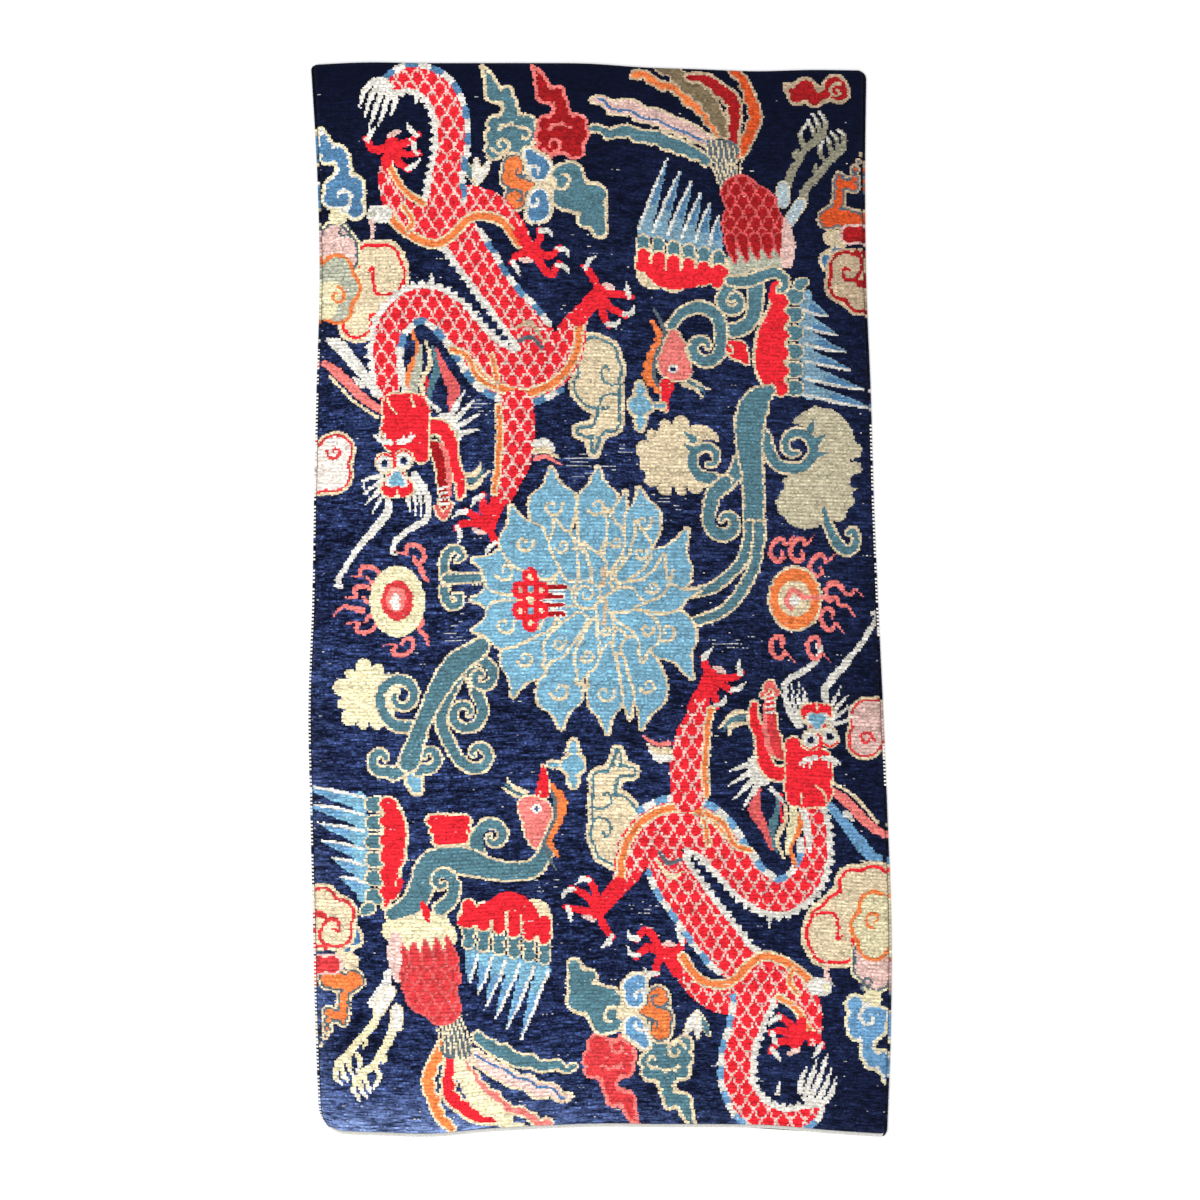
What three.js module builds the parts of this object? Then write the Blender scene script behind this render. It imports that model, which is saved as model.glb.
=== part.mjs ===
// Hand-knotted Tibetan sleeping rug (khaden), lying flat: a thick wool pile on a cotton foundation,
// one solid, with an overcast selvedge cord along each long side.
// Millimetres, +Z up, +Y towards the head end. The origin is on the floor at the middle of the rug.
import * as THREE from "three";
import { mergeVertices } from "three/addons/utils/BufferGeometryUtils.js";

// Edges of the rug, which was woven by hand and is not square, at eleven even steps.
// left and right are the side edges' x, row by row from the foot end to the head end.
// foot and head are the end edges' y, row by row from the left side to the right side.
const EDGES = [
  { left: -448, right: 459, foot: -853, head: 855 },
  { left: -455, right: 465, foot: -856, head: 859 },
  { left: -459, right: 466, foot: -858, head: 858 },
  { left: -463, right: 460, foot: -850, head: 858 },
  { left: -466, right: 453, foot: -845, head: 858 },
  { left: -460, right: 445, foot: -842, head: 857 },
  { left: -457, right: 438, foot: -843, head: 851 },
  { left: -453, right: 433, foot: -843, head: 848 },
  { left: -448, right: 426, foot: -845, head: 845 },
  { left: -452, right: 424, foot: -853, head: 847 },
  { left: -462, right: 426, foot: -859, head: 846 },
];

// Radius of each rounded corner
const CORNERS = {
  footLeft: 45,
  footRight: 14,
  headLeft: 8,
  headRight: 14,
};

// Heights above the floor
const PILE_TOP = 12;
const WEB_TOP = 3;
const PILE_EDGE_TOP = 8.5;
const PILE_SHOULDER_TOP = 11;
const RIPPLE = 0.5;
const RIPPLE_LENGTH = 420;

// Widths in from the rug's edge
const SELVEDGE_WIDTH = 5;
const SELVEDGE_HEIGHT = 6.5;
const SELVEDGE_GAP = 0.6;
const SHOULDER_WIDTH = 3;
const CROWN_WIDTH = 9;
const WEB_LENGTH = 6;
const WEB_STEP = 1.5;
const CORNER_STEPS = [28, 45];

// Steps of the surfaces
const FIELD_COLUMNS = 12;
const FIELD_ROWS = 24;
const CORD_SIDES = 8;

// A smooth curve through one edge's values, which stand at even steps of t from 0 to 1.
function along(edge, t) {
  const last = EDGES.length - 1;
  const place = THREE.MathUtils.clamp(t, 0, 1) * last;
  const i = Math.min(Math.floor(place), last - 1);
  const f = place - i;
  const b = EDGES[i][edge];
  const c = EDGES[i + 1][edge];
  const a = i > 0 ? EDGES[i - 1][edge] : 2 * b - c;
  const d = i + 2 <= last ? EDGES[i + 2][edge] : 2 * c - b;
  return b + 0.5 * f * (c - a + f * (2 * a - 5 * b + 4 * c - d + f * (3 * (b - c) + d - a)));
}

// Draws a square corner into a round one: toSide and toEnd are the distances from the two edges.
function roundCorner(toSide, toEnd, radius) {
  if (toSide >= radius || toEnd >= radius) return [toSide, toEnd];
  const p = 1 - toSide / radius;
  const q = 1 - toEnd / radius;
  return [
    radius * (1 - p * Math.sqrt(1 - (q * q) / 2)),
    radius * (1 - q * Math.sqrt(1 - (p * p) / 2)),
  ];
}

// The place on the rug at u across (0 left, 1 right) and v along (0 foot, 1 head).
function rugPoint(u, v) {
  const left = along("left", v);
  const right = along("right", v);
  const foot = along("foot", u);
  const head = along("head", u);
  const x = THREE.MathUtils.lerp(left, right, u);
  const y = THREE.MathUtils.lerp(foot, head, v);
  const onLeft = u < 0.5;
  const onFoot = v < 0.5;
  const corner = CORNERS[(onFoot ? "foot" : "head") + (onLeft ? "Left" : "Right")];
  const [toSide, toEnd] = roundCorner(onLeft ? x - left : right - x, onFoot ? y - foot : head - y, corner);
  return new THREE.Vector2(onLeft ? left + toSide : right - toSide, onFoot ? foot + toEnd : head - toEnd);
}

// Middle sizes, which turn a distance in millimetres into a share of u or v
const MIDDLE_WIDTH = along("right", 0.5) - along("left", 0.5);
const MIDDLE_LENGTH = along("head", 0.5) - along("foot", 0.5);
const across = (mm) => mm / MIDDLE_WIDTH;
const lengthways = (mm) => mm / MIDDLE_LENGTH;

// A closed solid through rings of points, its ends capped by ladders between a ring's two halves.
function loft(rings) {
  const count = rings[0].length;
  const positions = rings.flat().flatMap((p) => [p.x, p.y, p.z]);
  const faces = [];
  for (let r = 0; r + 1 < rings.length; r++) {
    for (let k = 0; k < count; k++) {
      const a = r * count + k;
      const b = r * count + ((k + 1) % count);
      faces.push(a, b, b + count, a, b + count, a + count);
    }
  }
  const lastRing = (rings.length - 1) * count;
  for (let k = 0; k + 1 < count / 2; k++) {
    const near = [k, k + 1, count - 2 - k, count - 1 - k];
    const far = near.map((i) => i + lastRing);
    faces.push(near[0], near[2], near[1], near[0], near[3], near[2]);
    faces.push(far[0], far[1], far[2], far[0], far[2], far[3]);
  }
  const geometry = new THREE.BufferGeometry();
  geometry.setAttribute("position", new THREE.Float32BufferAttribute(positions, 3));
  geometry.setIndex(faces);
  return mergeVertices(geometry, 1e-4);
}

// The pile's height at a place: full in the field, with a faint ripple, and lower on its edge.
function fieldTop(x, y) {
  const wave = (2 * Math.PI) / RIPPLE_LENGTH;
  return PILE_TOP + RIPPLE * Math.sin(wave * x + 1) * Math.sin(wave * 0.7 * y);
}

// Steps across the pile from the left selvedge to the right one, with the height at each.
function pileColumns() {
  const edge = across(SELVEDGE_WIDTH + SELVEDGE_GAP);
  const shoulder = edge + across(SHOULDER_WIDTH);
  const crown = edge + across(CROWN_WIDTH);
  const columns = [
    { u: edge, cap: PILE_EDGE_TOP },
    { u: shoulder, cap: PILE_SHOULDER_TOP },
    { u: crown, cap: Infinity },
    ...CORNER_STEPS.map((mm) => ({ u: across(mm), cap: Infinity })),
  ];
  const start = columns.at(-1).u;
  for (let i = 1; i < FIELD_COLUMNS; i++) {
    columns.push({ u: THREE.MathUtils.lerp(start, 1 - start, i / FIELD_COLUMNS), cap: Infinity });
  }
  const rightSide = columns.slice(0, 3 + CORNER_STEPS.length).map(({ u, cap }) => ({ u: 1 - u, cap }));
  return columns.concat(rightSide.reverse());
}

// Steps along the pile from the foot end, where the cotton web shows, to the head end.
function pileStations() {
  const pileStart = lengthways(WEB_LENGTH + WEB_STEP);
  const crown = lengthways(CROWN_WIDTH);
  const stations = [
    { v: 0, cap: WEB_TOP },
    { v: lengthways(WEB_LENGTH), cap: WEB_TOP },
    { v: pileStart, cap: PILE_EDGE_TOP },
    { v: pileStart + lengthways(SHOULDER_WIDTH), cap: PILE_SHOULDER_TOP },
    { v: pileStart + crown, cap: Infinity },
    ...CORNER_STEPS.map((mm) => ({ v: lengthways(mm), cap: Infinity })),
  ];
  const start = stations.at(-1).v;
  for (let i = 1; i <= FIELD_ROWS; i++) {
    stations.push({ v: THREE.MathUtils.lerp(start, 1 - crown, i / FIELD_ROWS), cap: Infinity });
  }
  stations.push({ v: 1 - lengthways(SHOULDER_WIDTH), cap: PILE_SHOULDER_TOP });
  stations.push({ v: 1, cap: PILE_EDGE_TOP });
  return stations;
}

// Knotted field: foundation and pile together, flat underneath.
function knottedField() {
  const columns = pileColumns();
  const rings = pileStations().map((station) => {
    const places = columns.map(({ u, cap }) => {
      const p = rugPoint(u, station.v);
      return { p, top: Math.min(cap, station.cap, fieldTop(p.x, p.y)) };
    });
    const topSide = places.map(({ p, top }) => new THREE.Vector3(p.x, p.y, top));
    const underSide = places.map(({ p }) => new THREE.Vector3(p.x, p.y, 0));
    return topSide.concat(underSide.reverse());
  });
  return loft(rings);
}

// Selvedge cord: the outer warps, overcast with yarn, a rounded bead with a flat foot.
function selvedgeCord(onLeft) {
  const width = across(SELVEDGE_WIDTH);
  const rings = pileStations().map(({ v }) => {
    const ring = [];
    for (let k = 0; k < CORD_SIDES; k++) {
      const turn = Math.PI / CORD_SIDES - (2 * Math.PI * k) / CORD_SIDES;
      const share = 0.5 + (0.5 * Math.cos(turn)) / Math.cos(Math.PI / CORD_SIDES);
      const rise = 0.5 + (0.5 * Math.sin(turn)) / Math.cos(Math.PI / CORD_SIDES);
      const u = width * share;
      const p = rugPoint(onLeft ? u : 1 - width + u, v);
      ring.push(new THREE.Vector3(p.x, p.y, SELVEDGE_HEIGHT * rise));
    }
    return ring;
  });
  return loft(rings);
}

const pileWool = new THREE.MeshStandardMaterial({ color: 0x141f45, roughness: 0.95, metalness: 0 });
const cordWool = new THREE.MeshStandardMaterial({ color: 0x1d2b55, roughness: 0.9, metalness: 0 });

function piece(name, geometry, material) {
  const mesh = new THREE.Mesh(geometry, material);
  mesh.name = name;
  return mesh;
}

const rug = new THREE.Group();
rug.add(piece("knotted_field", knottedField(), pileWool));
rug.add(piece("selvedge_left", selvedgeCord(true), cordWool));
rug.add(piece("selvedge_right", selvedgeCord(false), cordWool));

// The origin goes to the middle of the floor that the rug covers.
const middle = new THREE.Box3().setFromObject(rug).getCenter(new THREE.Vector3());
rug.position.set(-middle.x, -middle.y, 0);

export default rug;
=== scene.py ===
"""Hand-knotted Tibetan sleeping rug with two dragons and two phoenixes round a lotus.

The design is a chart of knots, one yarn for each, drawn by the motif functions. The pile, the back,
the cotton web and the side cords are meshes worked out from the rug's outline. Millimetres are used
throughout, and mesh_piece turns them into metres.
"""

import functools

import bpy
import numpy as np
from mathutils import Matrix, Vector


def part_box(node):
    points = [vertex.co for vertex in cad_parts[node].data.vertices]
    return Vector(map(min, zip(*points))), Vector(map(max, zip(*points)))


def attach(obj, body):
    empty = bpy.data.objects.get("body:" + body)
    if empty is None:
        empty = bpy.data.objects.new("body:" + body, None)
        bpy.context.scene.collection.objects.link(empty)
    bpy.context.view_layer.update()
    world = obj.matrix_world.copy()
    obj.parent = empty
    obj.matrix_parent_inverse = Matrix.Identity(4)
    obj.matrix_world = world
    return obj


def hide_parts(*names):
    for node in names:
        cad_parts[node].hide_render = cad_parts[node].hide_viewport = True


bl_info = {
    "name": "Knotted rug",
    "version": (1, 0, 0),
    "blender": (4, 5, 0),
    "location": "3D View > Sidebar > Rug",
    "description": "Builds a hand-knotted wool rug, knot by knot, round its frame",
    "category": "Add Mesh",
}

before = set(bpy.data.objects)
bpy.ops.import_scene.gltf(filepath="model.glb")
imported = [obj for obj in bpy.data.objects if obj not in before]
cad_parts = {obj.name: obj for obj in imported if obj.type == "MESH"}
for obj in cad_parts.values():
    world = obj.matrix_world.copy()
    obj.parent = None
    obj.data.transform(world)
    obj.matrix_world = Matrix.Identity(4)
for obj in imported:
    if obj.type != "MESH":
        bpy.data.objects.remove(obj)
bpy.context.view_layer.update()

SEED = 31

# a millimetre in metres
MILLIMETRE = 0.001
COLOUR_LAYER = "knot_colour"
BAKE_LAYER = "OFBake"

# Edges of the rug at eleven even steps, as in the part: left and right are x from the foot end to the
# head end, foot and head are y from the left side to the right side.
LEFT, RIGHT, FOOT, HEAD = range(4)
EDGES = np.array([
    [-448, 459, -853, 855],
    [-455, 465, -856, 859],
    [-459, 466, -858, 858],
    [-463, 460, -850, 858],
    [-466, 453, -845, 858],
    [-460, 445, -842, 857],
    [-457, 438, -843, 851],
    [-453, 433, -843, 848],
    [-448, 426, -845, 845],
    [-452, 424, -853, 847],
    [-462, 426, -859, 846],
], float)

# left side, foot end, radius of each rounded corner
CORNERS = ((True, True, 45), (False, True, 14), (True, False, 8), (False, False, 14))
MIDDLE_WIDTH = 905.0
MIDDLE_LENGTH = 1700.0
CORD_WIDTH = 5.0
CORD_HEIGHT = 6.5
WEB_LENGTH = 6.0
WEB_HEIGHT = 3.0
PILE_FOOT = 2.6
RIPPLE = 0.5
RIPPLE_LENGTH = 420.0

# Shares of a row of knots at which its lines lie: the gap, and the two shoulders of the ridge. Its
# three strips of faces lie between them.
SHOULDERS = (0.0, 0.28, 0.74)
STRIPS = len(SHOULDERS)

# name, red, green and blue of each yarn, 0 to 255 as dyed
YARNS = (
    ("ground", 5, 10, 31), ("ivory", 236, 232, 222), ("cream", 234, 214, 178),
    ("butter", 240, 228, 186), ("sand", 205, 180, 150), ("sage", 186, 188, 168), ("tan", 128, 112, 86),
    ("sky", 124, 175, 200), ("blue", 74, 118, 164), ("teal", 84, 122, 134), ("slate", 92, 104, 112),
    ("pink", 240, 200, 190), ("coral", 244, 128, 122), ("rose", 222, 96, 96), ("red", 236, 40, 52),
    ("crimson", 162, 27, 31), ("brick", 216, 62, 66), ("orange", 244, 128, 70), ("moss", 150, 146, 126),
    ("azure", 108, 156, 196), ("linen", 206, 196, 166), ("rust", 216, 84, 40), ("haze", 196, 214, 222),
    # mist is the sky yarn in painted shade, for the first phoenix's wings towards the head
    ("mist", 128, 164, 184), ("steel", 84, 128, 166), ("shell", 243, 230, 220),
)
(GROUND, IVORY, CREAM, BUTTER, SAND, SAGE, TAN, SKY, BLUE, TEAL, SLATE, PINK, CORAL,
 ROSE, RED, CRIMSON, BRICK, ORANGE, MOSS, AZURE, LINEN, RUST, HAZE, MIST, STEEL, SHELL) = range(len(YARNS))

# colours of the faded places, of a streaky painted sheen, and of the cotton that shows in worn places
FADED_INDIGO = np.array([66, 84, 138]) / 255
PAINTED_SHEEN_INDIGO = np.array([122, 142, 192]) / 255
COTTON = np.array([214, 212, 206]) / 255


# The design


def cubic(a, b, c, d, f):
    """The value at share f from b to c. Its slope is half the step from a to c at the start, and half
    the step from b to d at the end."""
    return b + 0.5 * f * (c - a + f * (2 * a - 5 * b + 4 * c - d + f * (3 * (b - c) + d - a)))


def smooth(rows, steps=6):
    """A curve through the rows, a cubic between two neighbours. Every column, widths too, is carried
    along."""
    p = np.asarray(rows, float)
    q = np.concatenate([2 * p[:1] - p[1:2], p, 2 * p[-1:] - p[-2:-1]])
    a, b, c, d = (q[k:k + len(p) - 1, None] for k in range(4))
    curve = cubic(a, b, c, d, (np.arange(steps) / steps)[None, :, None])
    return np.concatenate([curve.reshape(-1, p.shape[1]), p[-1:]])


def beside(path, side, inset=0, start=0, end=1):
    """The line along one edge of a path of x, y and width: each point goes square to the path by half
    the width less the inset, to the left where side is 1. start and end are shares of the path."""
    step = np.gradient(path[:, :2], axis=0)
    step /= np.hypot(*step.T)[:, None]
    edge = path[:, :2] + side * (path[:, 2:3] / 2 - inset) * np.column_stack([-step[:, 1], step[:, 0]])
    return edge[int(start * len(edge)):int(np.ceil(end * len(edge)))]


def spiral(x, y, radius, start, turns, count=9):
    """Points that wind inwards round a centre: the angle grows evenly from start, in degrees, and the
    radius shrinks evenly to a quarter."""
    t = np.linspace(0, 1, count)
    angle = np.radians(start + 360 * turns * t)
    reach = radius * (1 - 0.75 * t)
    return np.column_stack([x + reach * np.cos(angle), y + reach * np.sin(angle)])


def joints(start, *steps):
    """Points of a jointed limb: each step goes on from the last point by a heading in degrees, counted
    anticlockwise from the right, and a length."""
    points = [np.array(start, float)]
    for heading, length in steps:
        angle = np.radians(heading)
        points.append(points[-1] + length * np.array([np.cos(angle), np.sin(angle)]))
    return points


def with_widths(points, widths):
    """The points with widths spread evenly along them."""
    points = np.asarray(points, float)
    spread = np.interp(np.linspace(0, 1, len(points)), np.linspace(0, 1, len(widths)), widths)
    return np.column_stack([points, spread])


class Pen:
    """Draws on the chart of knots. x and y are the knots' places in the motif's own frame, and size
    says how many millimetres one of its units is."""

    def __init__(self, chart, x, y, size=1.0, swaps=None):
        self.chart, self.x, self.y, self.size, self.swaps = chart, x, y, size, swaps or {}

    def at(self, x, y, turn=0.0, size=1.0, flip=False):
        """A pen for a motif placed at x, y, turned by degrees, resized, and mirrored before the turn."""
        c, s = np.cos(np.radians(turn)), np.sin(np.radians(turn))
        dx, dy = (self.x - x) / size, (self.y - y) / size
        across, up = c * dx + s * dy, c * dy - s * dx
        return Pen(self.chart, -across if flip else across, up, self.size * size, self.swaps)

    def paint(self, knots, yarn):
        self.chart[knots] = self.swaps.get(yarn, yarn)

    def near(self, low, high):
        return np.flatnonzero((self.x > low[0]) & (self.x < high[0]) & (self.y > low[1]) & (self.y < high[1]))

    def blob(self, lobes, yarn, *rims, soft=4.0):
        """Fills the union of round lobes, rows of x, y and radius. The depth under the outline is the
        greatest of radius less distance, rounded where lobes meet: soft times the logarithm of the sum
        of the depths' powers of e. rims are pairs of yarn and width, from the outline inwards."""
        lobes = np.asarray(lobes, float)
        knots = self.near((lobes[:, :2] - lobes[:, 2:]).min(0), (lobes[:, :2] + lobes[:, 2:]).max(0))
        gap = np.hypot(self.x[knots, None] - lobes[:, 0], self.y[knots, None] - lobes[:, 1])
        depth = soft * np.log(np.exp((lobes[:, 2] - gap) * self.size / soft).sum(axis=1) + 1e-9)
        self.paint(knots[depth > 0], yarn)
        inner = 0
        for rim, width in zip(rims[::2], rims[1::2]):
            self.paint(knots[(depth > inner) & (depth <= inner + width)], rim)
            inner += width
        return knots[depth > inner]

    def oval(self, x, y, rx, ry, yarn):
        knots = self.near((x - rx, y - ry), (x + rx, y + ry))
        self.paint(knots[((self.x[knots] - x) / rx) ** 2 + ((self.y[knots] - y) / ry) ** 2 < 1], yarn)

    def track(self, path, spare):
        """The knots near a path of x, y and width, with each one's distance from it, side of it,
        distance along it and half width there, all in millimetres."""
        reach = path[:, 2].max() / 2 + spare / self.size
        knots = self.near(path[:, :2].min(0) - reach, path[:, :2].max(0) + reach)
        a, d = path[:-1, :2], np.diff(path[:, :2], axis=0)
        px, py = self.x[knots, None] - a[:, 0], self.y[knots, None] - a[:, 1]
        size = np.maximum((d ** 2).sum(axis=1), 1e-9)
        t = np.clip((px * d[:, 0] + py * d[:, 1]) / size, 0, 1)
        gap = np.hypot(px - t * d[:, 0], py - t * d[:, 1])
        k = gap.argmin(axis=1)
        row = np.arange(len(knots))
        t = t[row, k]
        length = np.sqrt(size)
        run = (np.cumsum(length) - length)[k] + t * length[k]
        side = np.sign(d[k, 0] * py[row, k] - d[k, 1] * px[row, k])
        half = 0.5 * (path[k, 2] + t * (path[k + 1, 2] - path[k, 2]))
        return knots, gap[row, k] * self.size, side, run * self.size, half * self.size

    def line(self, points, width, yarn, *rims, dash=None, teeth=None):
        """Draws along points. width is one width, or several that are spread along the points. Outside
        the line come the rims, pairs of yarn and width from the outermost in. dash is another yarn and
        the length of each stitch block. teeth are a side, a pitch and a depth: on that side the edge
        goes in and out in straight slopes."""
        path = smooth(with_widths(points, np.atleast_1d(width) / self.size))
        outer = sum(rims[1::2])
        knots, gap, side, run, half = self.track(path, outer + (teeth[2] if teeth else 0) + 1)
        if teeth:
            which, pitch, depth = teeth
            half = half + np.where(side == which, depth * np.abs(2 * ((run / pitch) % 1) - 1), 0)
        for rim, rim_width in zip(rims[::2], rims[1::2]):
            self.paint(knots[gap < half + outer], rim)
            outer -= rim_width
        self.paint(knots[gap < half], yarn)
        if dash:
            self.paint(knots[(gap < half) & ((run / dash[1]) % 2 >= 1)], dash[0])
        return knots[gap < half]

    def curl(self, x, y, radius, start, turns, width, yarn, *rims):
        self.line(spiral(x, y, radius, start, turns), (width, width, 0.7 * width), yarn, *rims)

    def scales(self, knots, yarn, pitch=23.5, rise=18.0, line=1.45):
        """Draws a net of scales over the knots: rows of arches, each row moved on by half an arch. An
        arch is one less the power of the distance from its middle, and its top meets the next row. The
        line's breadth is measured square to the arch, from its slope."""
        u, v = self.x[knots] / pitch, self.y[knots] / rise
        gap = np.full(len(knots), 99.0)
        for row in (np.floor(v) - 1, np.floor(v), np.floor(v) + 1):
            off = np.abs(2 * ((u + 0.5 * (row % 2)) % 1) - 1)
            slope = 2.4 * off ** 1.4 * 2 * rise / pitch
            gap = np.minimum(gap, np.abs(v - row - 1 + off ** 2.4) * rise / np.hypot(1, slope))
        self.paint(knots[gap < line], yarn)


# The dragon


def scaly(pen, rows):
    """A stretch of the dragon's body along rows of x, y and width. Returns its path."""
    path = smooth(rows)
    knots, gap, _, _, half = pen.track(path, 0)
    knots = knots[gap < half]
    pen.paint(knots, RED)
    pen.scales(knots, PINK)
    return path


def belt(pen, points, width=8):
    """An orange band with pale rims, which runs along the dragon's legs and shoulder."""
    pen.line(points, width, ORANGE, CREAM, 3.5)


def spine(pen, points, width=10):
    """The smooth edge of the dragon's back, in white and blue blocks."""
    pen.line(points, width, IVORY, dash=(STEEL, 21))


def saw(pen, points, side=1, width=7):
    """The toothed white edge of the dragon's back."""
    pen.line(points, width, IVORY, teeth=(side, 14, 7))


# x, y, width along the dragon's body
TAIL = (
    (-352, 808, 8), (-334, 823, 26), (-302, 834, 38), (-263, 816, 45), (-242, 775, 46), (-240, 725, 46),
    (-247, 680, 46), (-250, 640, 58), (-252, 606, 74),
)
BACK = ((-236, 596, 64), (-201, 545, 60), (-163, 490, 54), (-129, 450, 60), (-106, 420, 62))
FORE = (
    (-338, 322, 34), (-345, 365, 38), (-345, 412, 42), (-326, 452, 46), (-286, 474, 50),
    (-246, 455, 54), (-210, 413, 58), (-174, 373, 72), (-130, 356, 78), (-86, 370, 78), (-55, 402, 62),
    (-40, 438, 40), (-24, 464, 24),
)
NEAR_LEG = ((-134, 308, 54), (-132, 262, 54), (-138, 215, 48), (-148, 185, 36), (-154, 165, 30))
LEFT_THIGH = ((-262, 600, 60), (-305, 606, 52), (-335, 640, 36), (-345, 680, 24), (-340, 705, 14))
RIGHT_THIGH = ((-258, 622, 70), (-215, 634, 58), (-172, 628, 42), (-138, 598, 32), (-118, 564, 22))

# points and width of the belts on the two thighs and the shoulder
BELTS = (
    (((-346, 622), (-318, 590), (-270, 567), (-240, 580), (-205, 611), (-160, 605), (-131, 568)), 10),
    (((-338, 690), (-315, 652), (-286, 633)), 7),
    (((-318, 628), (-302, 605), (-310, 590)), 5),
    (((-240, 398), (-215, 388), (-198, 356), (-170, 338)), 6),
    (((-174, 388), (-166, 350)), 5),
)


def dragon_body(pen):
    """Thighs, back, tail and fore part in scales, with toothed and smooth edges beside them. The second
    dragon's back is broader, and its tail hangs nearer the middle of the rug."""
    scaly(pen, RIGHT_THIGH)
    scaly(pen, LEFT_THIGH)
    broader = np.array([0, 10, 14, 8, 0]) if pen.swaps else np.zeros(5)
    inwards = np.array([0, 0, 8, 16, 20, 20, 14, 6, 0]) if pen.swaps else np.zeros(9)
    back = scaly(pen, np.array(BACK) + np.outer(broader, (1, 0, 1)))
    tail = scaly(pen, np.array(TAIL) + np.outer(inwards, (1, 0, 0)))
    fore = scaly(pen, FORE)
    saw(pen, beside(back, -1, start=0.1, end=0.97), -1)
    spine(pen, beside(back, 1, start=0.12, end=1.0), 10)
    spine(pen, beside(tail, 1, -3, end=0.86), 10)
    saw(pen, beside(tail, -1, -2, start=0.1, end=0.9), -1)
    saw(pen, beside(fore, 1, -2, start=0.03, end=0.62), 1)
    spine(pen, beside(fore, -1, -4, start=0.12, end=0.75), 11)
    belt(pen, beside(fore, -1, 12, start=0.56, end=0.97), 10)
    for points, width in BELTS:
        belt(pen, points, width)
    pen.line(((-136, 432), (-112, 440), (-90, 412)), (4, 9, 5), SAND)
    pen.line(((-130, 412), (-110, 418), (-94, 402)), 7, SLATE)
    pen.line(((-272, 505), (-271, 521)), (9, 2), IVORY)


def tail_tuft(pen):
    """Five hairs that hang from the tail's tip, the middle one longest."""
    pen.line(((-366, 826), (-352, 828), (-336, 820)), (8, 15, 8), IVORY)
    for k, tip in enumerate(((-387, 785), (-380, 769), (-373, 748), (-357, 756), (-339, 769))):
        root = (-365 + 9 * k, 830 - 5 * k)
        middle = (0.5 * tip[0] + 0.5 * root[0] - 4 + 2 * k, 0.5 * tip[1] + 0.5 * root[1] + 4)
        pen.line((root, middle, tip), (9, 9, 2), IVORY)
    pen.line(((-297, 793), (-293, 812)), (3, 7), IVORY)


# palm, the direction that the pink pad faces, how far the second dragon's palm is moved, the leg's last
# stretch from the palm, and its width
FEET = (
    (-334, 726, 100, 19, -26, -11, -28, 18),
    (-108, 556, 250, 6, 4, -22, 32, 18),
    (0, 488, 55, 4, 4, -34, -40, 26),
    (-181, 118, 235, 2, 0, 26, 50, 26),
)

# each foot's four toes: heading and length of two joints, and two headings of the claw
TOES = (
    ((196, 30, 130, 24, 60, 50), (8, 26, 42, 20, 132, 120),
     (-38, 24, 6, 22, 105, 122), (-72, 28, -36, 22, 25, 50)),
    ((63, 22, 83, 16, 0, -54), (-17, 27, 40, 23, -16, -65),
     (-54, 46, 50, 24, -16, -63), (194, 25, 232, 16, -59, -67)),
    ((113, 30, 129, 21, 63, 30), (0, 25, -12, 28, 108, 100),
     (-54, 27, -28, 30, 14, 67), (-82, 30, -66, 24, -8, 45)),
    ((103, 31, 96, 18, 204, 243), (146, 29, 151, 13, 196, 220),
     (177, 34, 205, 19, -72, -99), (-66, 22, -68, 11, 225, 236)),
)
CLAW = 13


def dragon_feet(pen):
    """Each foot: a plain leg's end, a round palm, four jointed toes, a claw on each that stands across
    its toe, and a pink pad, an arc that faces one way."""
    for (x, y, pad, across, up, leg_x, leg_y, width), toes in zip(FEET, TOES):
        here = pen.at(x + across, y + up) if pen.swaps else pen.at(x, y)
        here.line(((leg_x, leg_y), (0.4 * leg_x - 2, 0.4 * leg_y), (0, 0)), width, RED)
        here.line(spiral(0, 0, 23, pad - 34, 0.19, 5), (7, 12, 7), PINK)
        here.blob([(0, 0, 13)], RED)
        for first, near, second, far, out, bend in toes:
            toe = joints((0, 0), (first, near), (second, far))
            here.line(toe, (13, 12, 9), RED)
            root = toe[-1] - (toe[-1] - toe[-2]) * 0.15
            here.line(joints(root, (out, CLAW), (bend, CLAW)), (8, 8, 2), IVORY)
    pen.blob([(-362, 615, 14), (-348, 614, 13)], IVORY)
    pen.blob([(-366, 616, 6)], SAGE)
    pen.line(((-368, 604), (-366, 590), (-367, 577)), (9, 7, 4), PINK)


def near_leg(pen):
    """The leg below the shoulder: scales, a belt along its outer edge, and three locks behind its knee."""
    path = scaly(pen, NEAR_LEG)
    belt(pen, beside(path, -1, -3), 7)
    for k, (yarn, width) in enumerate(((IVORY, 13), (CREAM, 11), (CORAL, 8))):
        lock = (-104, 248 - 12 * k), (-86, 248 - 11 * k), (-72 + 5 * k, 236 - 11 * k)
        pen.line(lock, (width, width, 3), yarn)


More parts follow.
